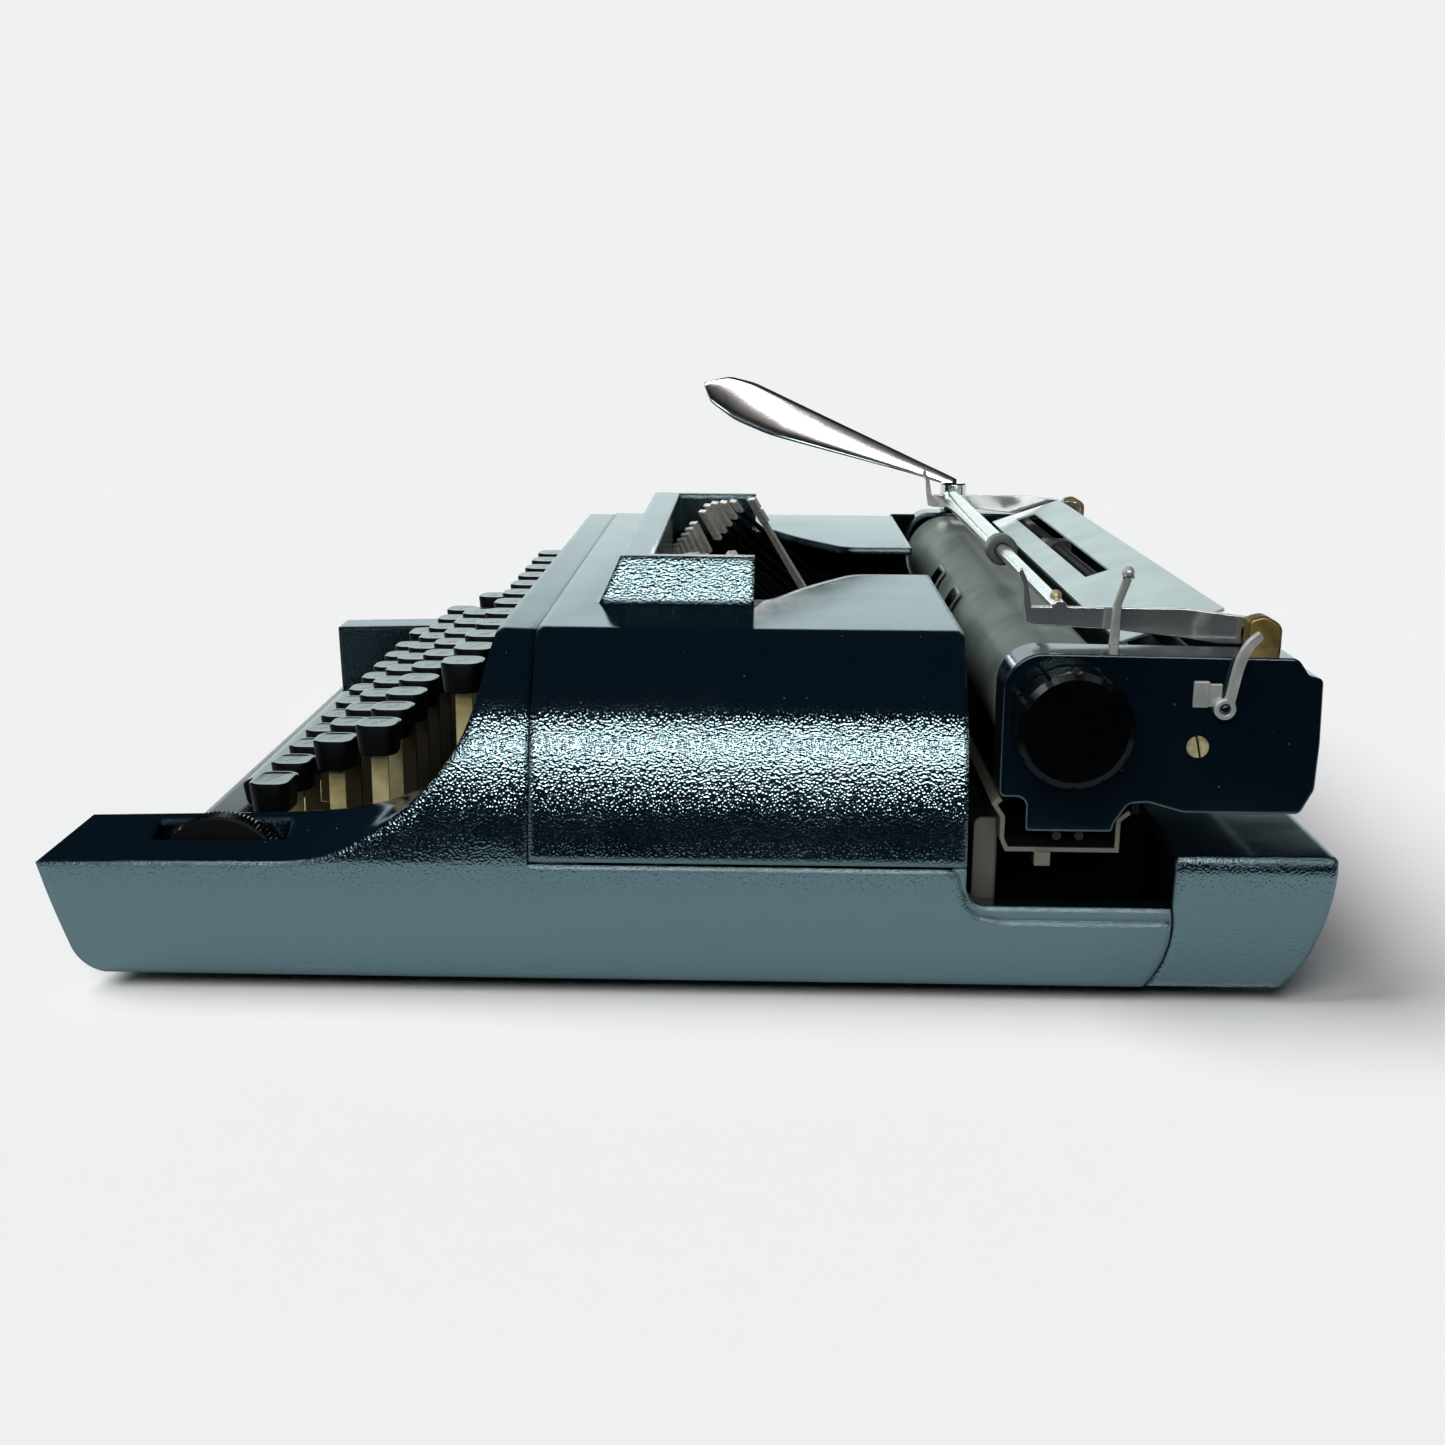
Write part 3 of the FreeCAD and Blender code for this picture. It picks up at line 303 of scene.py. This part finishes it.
# Oiled steel of the works: dark and dull
oiledSteel = stained("oiled steel", "#23292a", "#171b1c", patch=12 * mm, Metallic=0.7, Roughness=0.55)
# Japanned iron inside the casing: nearly black, matt
blackIron = stained("japanned iron", "#06080a", "#0b0e10", patch=10 * mm, Roughness=0.75, IOR=1.06)
# Bright chrome, slightly clouded
chrome = stained("chrome", "#dfe6e6", "#c3cccb", patch=6 * mm, Metallic=1.0, Roughness=0.12)
# Hazed chrome of the bail: mirror-like, but its faces stay grey where the room is dark
hazedChrome = stained("hazed chrome", "#dde4e3", "#ccd4d2", patch=6 * mm, Metallic=0.8, Roughness=0.13)
# Satin nickel of the small levers and tabs: pale grey, soft highlights
nickel = stained("satin nickel", "#c2c9c5", "#aab1ad", patch=4 * mm, Metallic=0.45, Roughness=0.35)
# Type steel of the slugs and the raised bar: satin, lightened to near white as painted light where the hood
# keeps the lamps off
typeSteel = stained("type steel", "#f2f3ea", "#cfd0c6", patch=1.5 * mm, Metallic=0.1, Roughness=0.4)
# Painted paper table: pale blue-grey, smooth
pale = stained("pale grey paint", "#b8caca", "#abbcbc", patch=15 * mm, Metallic=0.1, Roughness=0.3)
# Platen rubber: grey with an olive cast, hardened and worn smooth in patches
rubber = stained("platen rubber", "#5d6863", "#48524d", patch=14 * mm, Roughness=0.42)
# Felt: cream, fuzzy
felt = stained("cream felt", "#d2c590", "#b0a470", patch=4 * mm, grain=0.8 * mm, depth=0.2 * mm,
               Roughness=1.0)
# Inked ribbon cloth: dull black, with a fine rough grain
cloth = stained("inked cloth", "#101014", "#1b1b20", patch=3 * mm, grain=0.3 * mm, depth=0.05 * mm,
                Roughness=0.9)
# Aged brass, browned in patches
brass = stained("aged brass", "#8f8048", "#6b5e34", patch=3 * mm, Metallic=0.75, Roughness=0.4)
# Clean brass of the screw and pin heads, pale
screwBrass = stained("pale brass", "#cfcb9c", "#a8a377", patch=2 * mm, Metallic=0.4, Roughness=0.4)
# Knob plastic: black and polished, rubbed in patches
knobPlastic = stained("rubbed black plastic", "#020304", "#07090a", patch=4 * mm, Roughness=0.18, IOR=1.24,
                      Specular_Tint=(0.7, 0.9, 1.0, 1))
# Legend paint: cream, filled into the keytops
letterPaint = stained("cream legend paint", "#cfcdb8", "#b2b09a", patch=1 * mm, Roughness=0.6)

# Key levers: steel with a yellow passivated plating, full tone at the right end and darker deeper in as
# painted shade
plating = {"shadeTone": "#2e2c1d", "shadeEnd": 86 * mm, "fullToneFrom": 103 * mm}
plated = stained("yellow plated steel", "#efe9b4", "#c9c184", patch=7 * mm, Metallic=0.3, Roughness=0.5)
tree = plated.node_tree
base = tree.nodes["Principled BSDF"].inputs["Base Color"]
place = addNode(tree, "ShaderNodeTexCoord")
axes = addNode(tree, "ShaderNodeSeparateXYZ", {"Vector": place.outputs["Object"]})
# Darker towards the left, deeper in: painted shade
share = addNode(tree, "ShaderNodeMapRange", {"Value": axes.outputs["X"], "From Min": plating["shadeEnd"],
                                             "From Max": plating["fullToneFrom"]})
tone = addNode(tree, "ShaderNodeMix", {"Factor": share.outputs["Result"], "A": colour(plating["shadeTone"]),
                                       "B": base.links[0].from_socket}, data_type="RGBA")
tree.links.new(tone.outputs["Result"], base)

# Carriage rail: bright where the sheet was cut at its ends, olive on the strap, near black between as
# painted shade
rail = {"inner": "#020304", "strap": "#595e52", "strapFrom": 78.5 * mm, "strapFull": 77.5 * mm,
        "cut": "#6b6c62", "cutFrom": 149.4 * mm, "cutFull": 149.9 * mm,
        "grain": 0.6 * mm, "grainDepth": 0.02 * mm}
railSteel, tree, shader = newMaterial("cut rail steel", Metallic=0.2, Roughness=0.6)
place = grainBump(tree, shader, rail["grain"], rail["grainDepth"])[0]
axes = addNode(tree, "ShaderNodeSeparateXYZ", {"Vector": place.outputs["Object"]})
away = addNode(tree, "ShaderNodeMath", {0: axes.outputs["X"]}, operation="ABSOLUTE")
cut = addNode(tree, "ShaderNodeMapRange", {"Value": away.outputs["Value"], "From Min": rail["cutFrom"],
                                           "From Max": rail["cutFull"]})
front = addNode(tree, "ShaderNodeMapRange", {"Value": axes.outputs["Y"], "From Min": rail["strapFrom"],
                                             "From Max": rail["strapFull"]})
# The near-black inner tone is painted shade inside the rail
innerShadeOrStrap = addNode(tree, "ShaderNodeMix", {"Factor": front.outputs["Result"], "A": colour(rail["inner"]),
                                       "B": colour(rail["strap"])}, data_type="RGBA")
tone = addNode(tree, "ShaderNodeMix", {"Factor": cut.outputs["Result"], "A": innerShadeOrStrap.outputs["Result"],
                                       "B": colour(rail["cut"])}, data_type="RGBA")
tree.links.new(tone.outputs["Result"], shader.inputs["Base Color"])

finish = {"black_paint": enamel, "pale_paint": pale, "black_plastic": plastic, "steel": steel,
          "chrome": chrome, "rubber": rubber, "felt": felt, "inked_cloth": cloth, "brass": brass}
print("materials made")

# How edges are drawn: crease angles in degrees, and how far a copied CAD mesh is merged and flattened
drawing = {"crease": 35, "casingCrease": 28, "wheelCrease": 20, "bladeCrease": 80, "roundSegments": 2,
           "merge": 0.002 * mm, "flat": 0.3}


def makePiece(bm, name, body, material, stands=(), crease=drawing["crease"]):
    mesh = takeMesh(bm, name)
    mesh.shade_smooth()
    mesh.set_sharp_from_angle(angle=radians(crease))
    mesh.materials.append(material)
    piece = addObject(name, mesh)
    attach(piece, body)
    if stands:
        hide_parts(*stands)
    return piece


def roundEdges(piece, edge, clamp=False):
    bevel = piece.modifiers.new("edges", "BEVEL")
    bevel.width = edge
    bevel.segments = drawing["roundSegments"]
    bevel.limit_method = "ANGLE"
    bevel.angle_limit = radians(drawing["casingCrease"])
    bevel.use_clamp_overlap = clamp
    bevel.harden_normals = True


def copyNode(node):
    bm = bmesh.new()
    bm.from_mesh(frame["nodes"][node].data)
    bmesh.ops.remove_doubles(bm, verts=bm.verts, dist=drawing["merge"])
    return bm


for part in frame["nodes"].values():
    for place in part.material_slots:
        place.material = finish[place.material.name]

inside = {oiledSteel: ("carriage_frame", "feed_roller_cradle", "escapement_rack", "escapement_bracket",
                       "escapement_wheel", "mainspring_drum", "ribbon_cups", "margin_rail", "type_segment"),
          blackIron: ("side_frames", "thumbwheel_bracket", "bottom_pan", "shift_frame", "space_bar_frame"),
          plated: ("number_row_levers", "upper_row_levers", "home_row_levers", "lower_row_levers")}
for material, nodes in inside.items():
    for node in nodes:
        frame["nodes"][node].material_slots[0].material = material

# Casing, carriage covers and sheet pieces: CAD forms with their edges rounded, as pressing and paint leave
# them. Each has its edge radius in millimetres, and some a finish of their own.
edges = {"main_shell": 0.9, "ribbon_cover": 0.7, "rear_cover": 0.9, "right_end_cover": 0.5,
         "left_end_cover": 0.5, "carriage_back": 0.4, "carriage_rail": 0.25, "paper_table": 0.3,
         "paper_bail": 0.3, "bail_brackets": 0.8, "space_bar": 1.2, "paper_release_lever": 0.5,
         "carriage_release_lever": 0.4, "bail_roller": 0.8, "platen": 0.6}
special = {"carriage_rail": railSteel, "right_end_cover": smoothEnamel, "left_end_cover": smoothEnamel,
           "carriage_back": smoothEnamel, "carriage_release_lever": nickel, "paper_release_lever": nickel,
           "paper_bail": hazedChrome}
clamped = ("main_shell", "ribbon_cover")  # their rounded edges would overlap otherwise
for node, edge in edges.items():
    bm = copyNode(node)
    bmesh.ops.dissolve_limit(bm, angle_limit=radians(drawing["flat"]), verts=bm.verts, edges=bm.edges)
    material = special.get(node, finish[slotOf[node]])
    piece = makePiece(bm, node + "_finished", bodyOf[node], material, [node],
                      drawing["casingCrease"])
    roundEdges(piece, edge * mm, node in clamped)
print("casing finished")

# Keytops: rounded squares that narrow downwards, with a dished top, each on a flat stem
keys = {"height": 8.0 * mm, "depth": 11.2 * mm, "width": 12.4 * mm, "shiftWidth": 15.0 * mm,
        "pitch": 19.0 * mm, "foot": 0.88, "corner": 3.8 * mm, "cornerSegments": 6,
        "rim": 0.45 * mm, "rimSegments": 2,
        "dish": ((0.5, 0.0), (0.8, -0.04), (1.1, -0.03), (1.2, -0.01)),  # inset and rise of each ring, in mm
        "stem": (1.2 * mm, 4.4 * mm, 3.6 * mm), "stemMiddle": -9.3 * mm, "leverHalf": 1.0 * mm,
        "letter": 4.2 * mm, "letterSteps": 2, "letterLift": 0.03 * mm}
legends = {"number_row_keytops": "1234567890-", "upper_row_keytops": "Q ERTYUIOP/+",
           "home_row_keytops": "ASDFGHJKL;'", "lower_row_keytops": "ZXCVBNM,.?"}


def boxShape(middle, size):
    bm = bmesh.new()
    bmesh.ops.create_cube(bm, size=1.0, matrix=Matrix.Translation(middle) @ Matrix.Diagonal((*size, 1)))
    return takeMesh(bm, "box")


def addCopy(bm, mesh, place):
    first = len(bm.verts)
    bm.from_mesh(mesh)
    bm.verts.ensure_lookup_table()
    bmesh.ops.transform(bm, matrix=place, verts=bm.verts[first:])


def roundOff(bm, edges, radius, segments):
    bmesh.ops.bevel(bm, geom=edges, offset=radius, offset_type="OFFSET", affect="EDGES", segments=segments,
                    profile=0.5, material=-1)


def topFace(bm):
    return max(bm.faces, key=lambda face: face.calc_center_median().z)


def keyShape(width):
    half = keys["height"] / 2
    bm = bmesh.new()
    bm.from_mesh(boxShape((0, 0, -half), (width, keys["depth"], keys["height"])))
    low = [v for v in bm.verts if v.co.z < -half]
    upright = [e for e in bm.edges if abs(e.verts[0].co.z - e.verts[1].co.z) > half]
    bmesh.ops.scale(bm, vec=(keys["foot"], keys["foot"], 1), verts=low)
    roundOff(bm, upright, keys["corner"], keys["cornerSegments"])
    roundOff(bm, list(topFace(bm).edges), keys["rim"], keys["rimSegments"])
    cap = topFace(bm)
    for inward, rise in keys["dish"]:
        bmesh.ops.inset_region(bm, faces=[cap], thickness=inward * mm, depth=rise * mm,
                               use_even_offset=True)
    return takeMesh(bm, "keytop")


def letterShape(letter):
    curve = bpy.data.curves.new("letter", "FONT")
    curve.body = letter
    curve.size = keys["letter"]
    curve.align_x = "CENTER"
    curve.align_y = "CENTER"
    curve.resolution_u = keys["letterSteps"]
    holder = addObject("letter", curve)
    mesh = bpy.data.meshes.new_from_object(holder.evaluated_get(bpy.context.evaluated_depsgraph_get()))
    bpy.data.objects.remove(holder)
    return mesh


keyMesh = keyShape(keys["width"])
shiftMesh = keyShape(keys["shiftWidth"])
stemMesh = boxShape((0, 0, keys["stemMiddle"]), keys["stem"])
onDish = Matrix.Translation((0, 0, sum(rise for inward, rise in keys["dish"]) * mm + keys["letterLift"]))
for node, row in legends.items():
    low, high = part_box(node)
    capsBm, stemsBm, lettersBm = bmesh.new(), bmesh.new(), bmesh.new()
    for index, letter in enumerate(row):
        if letter == " ":  # the typed key's gap
            continue
        x = low[0] + keys["width"] / 2 + keys["pitch"] * index
        place = Matrix.Translation((x, (low[1] + high[1]) / 2, high[2]))
        addCopy(capsBm, keyMesh, place)
        addCopy(stemsBm, stemMesh, place)
        addCopy(lettersBm, letterShape(letter), place @ onDish)
    makePiece(capsBm, node + "_finished", bodyOf[node], plastic, [node])
    makePiece(stemsBm, node + "_stems", bodyOf[node], plated, [node])
    makePiece(lettersBm, node + "_letters", bodyOf[node], letterPaint)

low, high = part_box("shift_keytops")
capsBm, stemsBm = bmesh.new(), bmesh.new()
for x in (low[0] + keys["shiftWidth"] / 2, high[0] - keys["shiftWidth"] / 2):
    place = Matrix.Translation((x, (low[1] + high[1]) / 2, high[2]))
    addCopy(capsBm, shiftMesh, place)
    addCopy(stemsBm, stemMesh, place)
makePiece(capsBm, "shift_keytops_finished", "shift", plastic, ["shift_keytops"])
makePiece(stemsBm, "shift_keytops_stems", "shift", plated, ["shift_keytops"])

# Keys that carry their own lever, each in line with a row: the typed key rests a little pressed, as far
# as its typebar has risen, so it is turned about the fulcrum
typing = {"travel": radians(3.2), "swing": radians(90), "risen": radians(28)}
ownLevers = {"backspace_key": ("number_row_keytops", "<", 0), "shift_lock_key": ("home_row_keytops", "", 0),
             "typed_key": ("upper_row_keytops", "W", typing["travel"] * typing["risen"] / typing["swing"])}
fulcrum = centre("key_fulcrum_shaft")
for node, (row, letter, turn) in ownLevers.items():
    middle = centre(node).x
    leverBm = copyNode(node)
    aside = [v for v in leverBm.verts if abs(v.co.x - middle) > keys["leverHalf"]]
    bmesh.ops.delete(leverBm, geom=aside, context="VERTS")
    makePiece(leverBm, node + "_lever", bodyOf[node], plated, [node])
    tilt = Matrix.Translation(fulcrum) @ Matrix.Rotation(turn, 4, "X") @ Matrix.Translation(-fulcrum)
    place = tilt @ Matrix.Translation((middle, centre(row).y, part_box(row)[1][2]))
    stemBm = bmesh.new()
    addCopy(stemBm, stemMesh, place)
    makePiece(stemBm, node + "_stem", bodyOf[node], plated, [node])
    capBm = bmesh.new()
    addCopy(capBm, keyMesh, place)
    makePiece(capBm, node + "_cap", bodyOf[node], plastic, [node])
    if letter:
        letterBm = bmesh.new()
        addCopy(letterBm, letterShape(letter), place @ onDish)
        makePiece(letterBm, node + "_letter", bodyOf[node], letterPaint)
print("keys finished")

# Return lever: a long dished blade on a round hub. The outlines are Y and Z in millimetres, from hub to
# tip. Curl is the rolled share of the blade's height; lean and bend tip it back, each with its value at
# the tip and what it gains towards the hub.
lever = {"sheet": 0.9 * mm, "face": -149.6 * mm, "along": 21, "across": 8, "smooth": 2,
         "curl": 0.08, "curlLean": -0.55, "lean": (0.02, 0.18), "bend": (0.1, 0.025),
         "lower": ((97, 98.2), (80, 103.4), (60, 108.6), (40, 113.7), (22, 118.4), (8, 124.2), (-2, 131.5),
                   (-4.2, 138)),
         "upper": ((98, 101.2), (82, 108.5), (64, 116.8), (46, 125.1), (30, 132.5), (16, 139), (6, 141.4),
                   (-4.2, 139)),
         "hub": (-147, 96, 94.9), "hubRadius": 5.2 * mm, "hubTall": 11 * mm, "hubSegments": 40,
         "neck": (-149.2, 96.6, 97.2), "neckSize": (4.6, 8, 5.4), "hubEdge": 0.7 * mm}


def follow(points, share):
    step = share * (len(points) - 1)
    index = min(int(step), len(points) - 2)
    return Vector(points[index]).lerp(Vector(points[index + 1]), step - index)


bm = bmesh.new()
bmesh.ops.create_grid(bm, x_segments=lever["along"], y_segments=lever["across"], size=1.0)
for v in bm.verts:
    along, across = (v.co.x + 1) / 2, (v.co.y + 1) / 2
    lower, upper = follow(lever["lower"], along), follow(lever["upper"], along)
    spot = lower.lerp(upper, across)
    tall = (upper - lower).length * mm
    curled = min(across, lever["curl"])
    flat = across - curled
    lean = lever["lean"][0] + lever["lean"][1] * (1 - along)
    bend = lever["bend"][0] + lever["bend"][1] * (1 - along)
    back = lean * flat + bend * flat ** 2 + lever["curlLean"] * curled * (1 - 0.5 * curled / lever["curl"])
    v.co = Vector((lever["face"] - tall * back, spot.x * mm, spot.y * mm))
blade = makePiece(bm, "return_lever_blade", "return_lever", chrome, ["return_lever"],
                  drawing["bladeCrease"])
sheet = blade.modifiers.new("sheet", "SOLIDIFY")
sheet.thickness = lever["sheet"]
smooth = blade.modifiers.new("smooth", "SUBSURF")
smooth.levels = lever["smooth"]
smooth.render_levels = lever["smooth"]

bm = bmesh.new()
bmesh.ops.create_cone(bm, cap_ends=True, segments=lever["hubSegments"], radius1=lever["hubRadius"],
                      radius2=lever["hubRadius"], depth=lever["hubTall"],
                      matrix=Matrix.Translation(Vector(lever["hub"]) * mm))
bm.from_mesh(boxShape(Vector(lever["neck"]) * mm, Vector(lever["neckSize"]) * mm))
hub = makePiece(bm, "return_lever_hub", "return_lever", chrome, ["return_lever"])
roundEdges(hub, lever["hubEdge"])
print("return lever finished")


def pushOut(bm, faces, way):
    made = bmesh.ops.extrude_face_region(bm, geom=faces)
    moved = [part for part in made["geom"] if isinstance(part, bmesh.types.BMVert)]
    bmesh.ops.translate(bm, verts=moved, vec=way)
    bmesh.ops.recalc_face_normals(bm, faces=bm.faces)


# A grooved wheel on an X axis: every groove is one corner of the rim pulled inwards
def groovedWheel(wheel):
    y, z = wheel["axis"]
    bm = bmesh.new()
    rim = bmesh.ops.create_circle(bm, cap_ends=True, segments=wheel["corners"], radius=wheel["radius"])
    for v in rim["verts"][::wheel["every"]]:
        v.co *= 1 - wheel["groove"] / wheel["radius"]
    turn = Matrix.Translation((wheel["inner"], y, z)) @ Matrix.Rotation(pi / 2, 4, "Y")
    bmesh.ops.transform(bm, matrix=turn, verts=bm.verts)
    pushOut(bm, bm.faces[:], (wheel["outer"] - wheel["inner"], 0, 0))
    flatRadius = wheel["radius"] - wheel["groove"] - wheel["chamfer"]
    for cap in [f for f in bm.faces if len(f.verts) == wheel["corners"]]:
        bmesh.ops.inset_region(bm, faces=[cap], thickness=wheel["chamfer"], depth=0)
        bmesh.ops.translate(bm, verts=cap.verts, vec=cap.normal * wheel["crown"] * wheel["chamfer"])
        for v in cap.verts:
            spoke = Vector((0, v.co.y - y, v.co.z - z))
            v.co += spoke.normalized() * flatRadius - spoke
    return bm


platenAxis = centre("platen")
knob = {"axis": (platenAxis.y, platenAxis.z), "radius": 14.0 * mm, "inner": 154.0 * mm, "outer": 162.2 * mm,
        "corners": 108, "every": 9, "groove": 0.5 * mm, "chamfer": 1.1 * mm, "crown": 0.6}
bm = bmesh.new()
for side in (-1, 1):
    wheel = groovedWheel(knob)
    if side < 0:
        bmesh.ops.scale(wheel, vec=(-1, 1, 1), verts=wheel.verts)
        bmesh.ops.reverse_faces(wheel, faces=wheel.faces)
    bm.from_mesh(takeMesh(wheel, "knob"))
makePiece(bm, "platen_knobs_finished", "platen", knobPlastic, ["platen_knobs"],
          drawing["wheelCrease"])

thumb = {"axis": (-116.6 * mm, 27.5 * mm), "radius": 16.2 * mm, "inner": 138.9 * mm, "outer": 143.9 * mm,
         "corners": 180, "every": 2, "groove": 0.45 * mm, "chamfer": 0.5 * mm, "crown": 0.6}
makePiece(groovedWheel(thumb), "thumbwheel_finished", "thumbwheel", plastic,
          ["thumbwheel"], drawing["wheelCrease"])
print("wheels finished")

# Type basket, in millimetres: dark shanks and pale slugs, fanned in the segment's plane about the print
# point. One bar stands part-way up, with two pads on its slug; the others' slugs stand up from their bars,
# and slugTop keeps them under the hood on the left and on the right.
basket = {"length": 68.0, "fan": 62.0, "count": 44, "raised": 5, "edge": 0.2,
          "printRadius": 16.6, "printAngle": radians(40), "shankThick": 1.1, "slugThick": 1.5,
          "shankSide": ((-65.6, -2.2), (-65.6, 6), (-68.6, 14), (-69, 63), (-71.4, 63), (-72.4, 14),
                        (-71.2, -2.2)),
          "slugSide": ((-71.4, 62), (-71.4, 72), (-68, 72), (-68, 67.9), (-69.1, 67.7), (-69.1, 67.2),
                       (-68, 67), (-68, 62)),
          "slugFoot": (0, -69.7, 63), "slugLean": radians(33), "slugDeep": 3.2, "slugSunk": 1.0,
          "slugShort": 2.0, "slugLong": 12.0, "slugTop": (101.8, 98.0)}


def plate(side, thick):
    bm = bmesh.new()
    near = bm.faces.new([bm.verts.new((-thick / 2 * mm, y * mm, z * mm)) for y, z in side])
    pushOut(bm, [near], (thick * mm, 0, 0))
    return takeMesh(bm, "plate")


# A resting bar's slug, as tall as the room under the hood allows
def standingSlug(turned, top):
    rise = (turned.to_3x3() @ Vector((0, 0, 1))).z
    room = (top - turned.translation.z / mm) / rise
    tall = max(basket["slugShort"], min(basket["slugLong"], room))
    sunk = basket["slugSunk"]
    size = Vector((basket["slugThick"], basket["slugDeep"], tall + sunk))
    return boxShape(Vector((0, 0, (tall - sunk) / 2)) * mm, size * mm)


printAngle = basket["printAngle"]
printPoint = platenAxis + Vector((0, -cos(printAngle), sin(printAngle))) * basket["printRadius"] * mm
inBasket = Matrix.Translation(printPoint) @ Matrix.Rotation(pi / 2 - printAngle, 4, "X")
pivot = Matrix.Translation((0, -basket["length"] * mm, 0))
risen = pivot @ Matrix.Rotation(-typing["risen"], 4, "X") @ pivot.inverted()
slugFoot = Matrix.Translation(Vector(basket["slugFoot"]) * mm)
slugPlace = slugFoot @ Matrix.Rotation(-basket["slugLean"], 4, "X")
for part, material in (("shank", blackIron), ("slug", typeSteel)):
    shape = plate(basket[part + "Side"], basket[part + "Thick"])
    restingBm, raisedBm = bmesh.new(), bmesh.new()
    for index in range(basket["count"]):
        angle = radians(basket["fan"] * (2 * index / (basket["count"] - 1) - 1))
        place = inBasket @ Matrix.Rotation(angle, 4, "Z")
        if index == basket["raised"]:
            addCopy(raisedBm, shape, place @ risen)
        elif part == "slug":
            turned = place @ slugPlace
            addCopy(restingBm, standingSlug(turned, basket["slugTop"][angle > 0]), turned)
        else:
            addCopy(restingBm, shape, place)
    resting = makePiece(restingBm, "typebars_" + part, bodyOf["typebars"], material, ["typebars"])
    raised = makePiece(raisedBm, "raised_typebar_" + part, bodyOf["raised_typebar"], typeSteel,
                       ["raised_typebar"])
    roundEdges(resting, basket["edge"] * mm)
    roundEdges(raised, basket["edge"] * mm)
print("type basket finished")

# Small trim, in millimetres: a slotted screw and a spring tab on the right end cover, a lip in front of
# the left one, a frame ear behind the ribbon cover, and a stop pin on the bail
screw = {"middle": (153.0, 124.0, 66.8), "radius": 2.7, "taper": 0.9, "rise": 0.9, "slot": 0.55,
         "slotTurn": radians(12), "segments": 40}
bm = bmesh.new()
for half in (-1, 1):
    disc = bmesh.new()
    bmesh.ops.create_cone(disc, cap_ends=True, segments=screw["segments"], radius1=screw["radius"] * mm,
                          radius2=screw["radius"] * screw["taper"] * mm, depth=screw["rise"] * mm)
    bmesh.ops.bisect_plane(disc, geom=disc.verts[:] + disc.edges[:] + disc.faces[:], clear_inner=True,
                           plane_co=(half * screw["slot"] / 2 * mm, 0, 0), plane_no=(half, 0, 0))
    bmesh.ops.holes_fill(disc, edges=disc.edges)
    place = Matrix.Translation((Vector(screw["middle"]) + Vector((screw["rise"] / 2, 0, 0))) * mm)
    outward = Matrix.Rotation(pi / 2, 4, "Y") @ Matrix.Rotation(pi / 2, 4, "Z")
    turned = Matrix.Rotation(screw["slotTurn"], 4, "X") @ outward
    bmesh.ops.transform(disc, matrix=place @ turned, verts=disc.verts)
    bm.from_mesh(takeMesh(disc, "screw"))
makePiece(bm, "end_cover_screw", "carriage", screwBrass)

plates = {
    "end_cover_tab": {"body": "carriage", "slot": "steel", "finish": nickel, "edge": 0.3,
                      "boxes": (((153.3, 123.9, 79.8), (0.7, 3.8, 6.4)),
                                ((153.2, 127.2, 79.6), (0.5, 3.4, 5.6)))},
    "left_end_cover_lip": {"body": "carriage", "slot": "black_paint", "finish": blackIron, "edge": 1.2,
                           "boxes": (((-146.5, 76.6, 79.1), (9.0, 11.4, 16.4)),)},
    "left_frame_ear": {"body": bodyOf["side_frames"], "slot": slotOf["side_frames"], "finish": blackIron,
                       "edge": 0.5, "boxes": (((-129.5, 71.1, 64.6), (3.0, 10.2, 21.2)),)}}
for name, part in plates.items():
    bm = bmesh.new()
    for middle, size in part["boxes"]:
        bm.from_mesh(boxShape(Vector(middle) * mm, Vector(size) * mm))
    roundEdges(makePiece(bm, name, part["body"], part["finish"]), part["edge"] * mm)

pin = {"middle": (126.5, 92.7, 98.9), "radius": 1.5, "round": 20, "tall": 12}
bm = bmesh.new()
bmesh.ops.create_uvsphere(bm, u_segments=pin["round"], v_segments=pin["tall"], radius=pin["radius"] * mm,
                          matrix=Matrix.Translation(Vector(pin["middle"]) * mm))
makePiece(bm, "bail_stop_pin", "paper_bail", screwBrass)
print("trim finished")
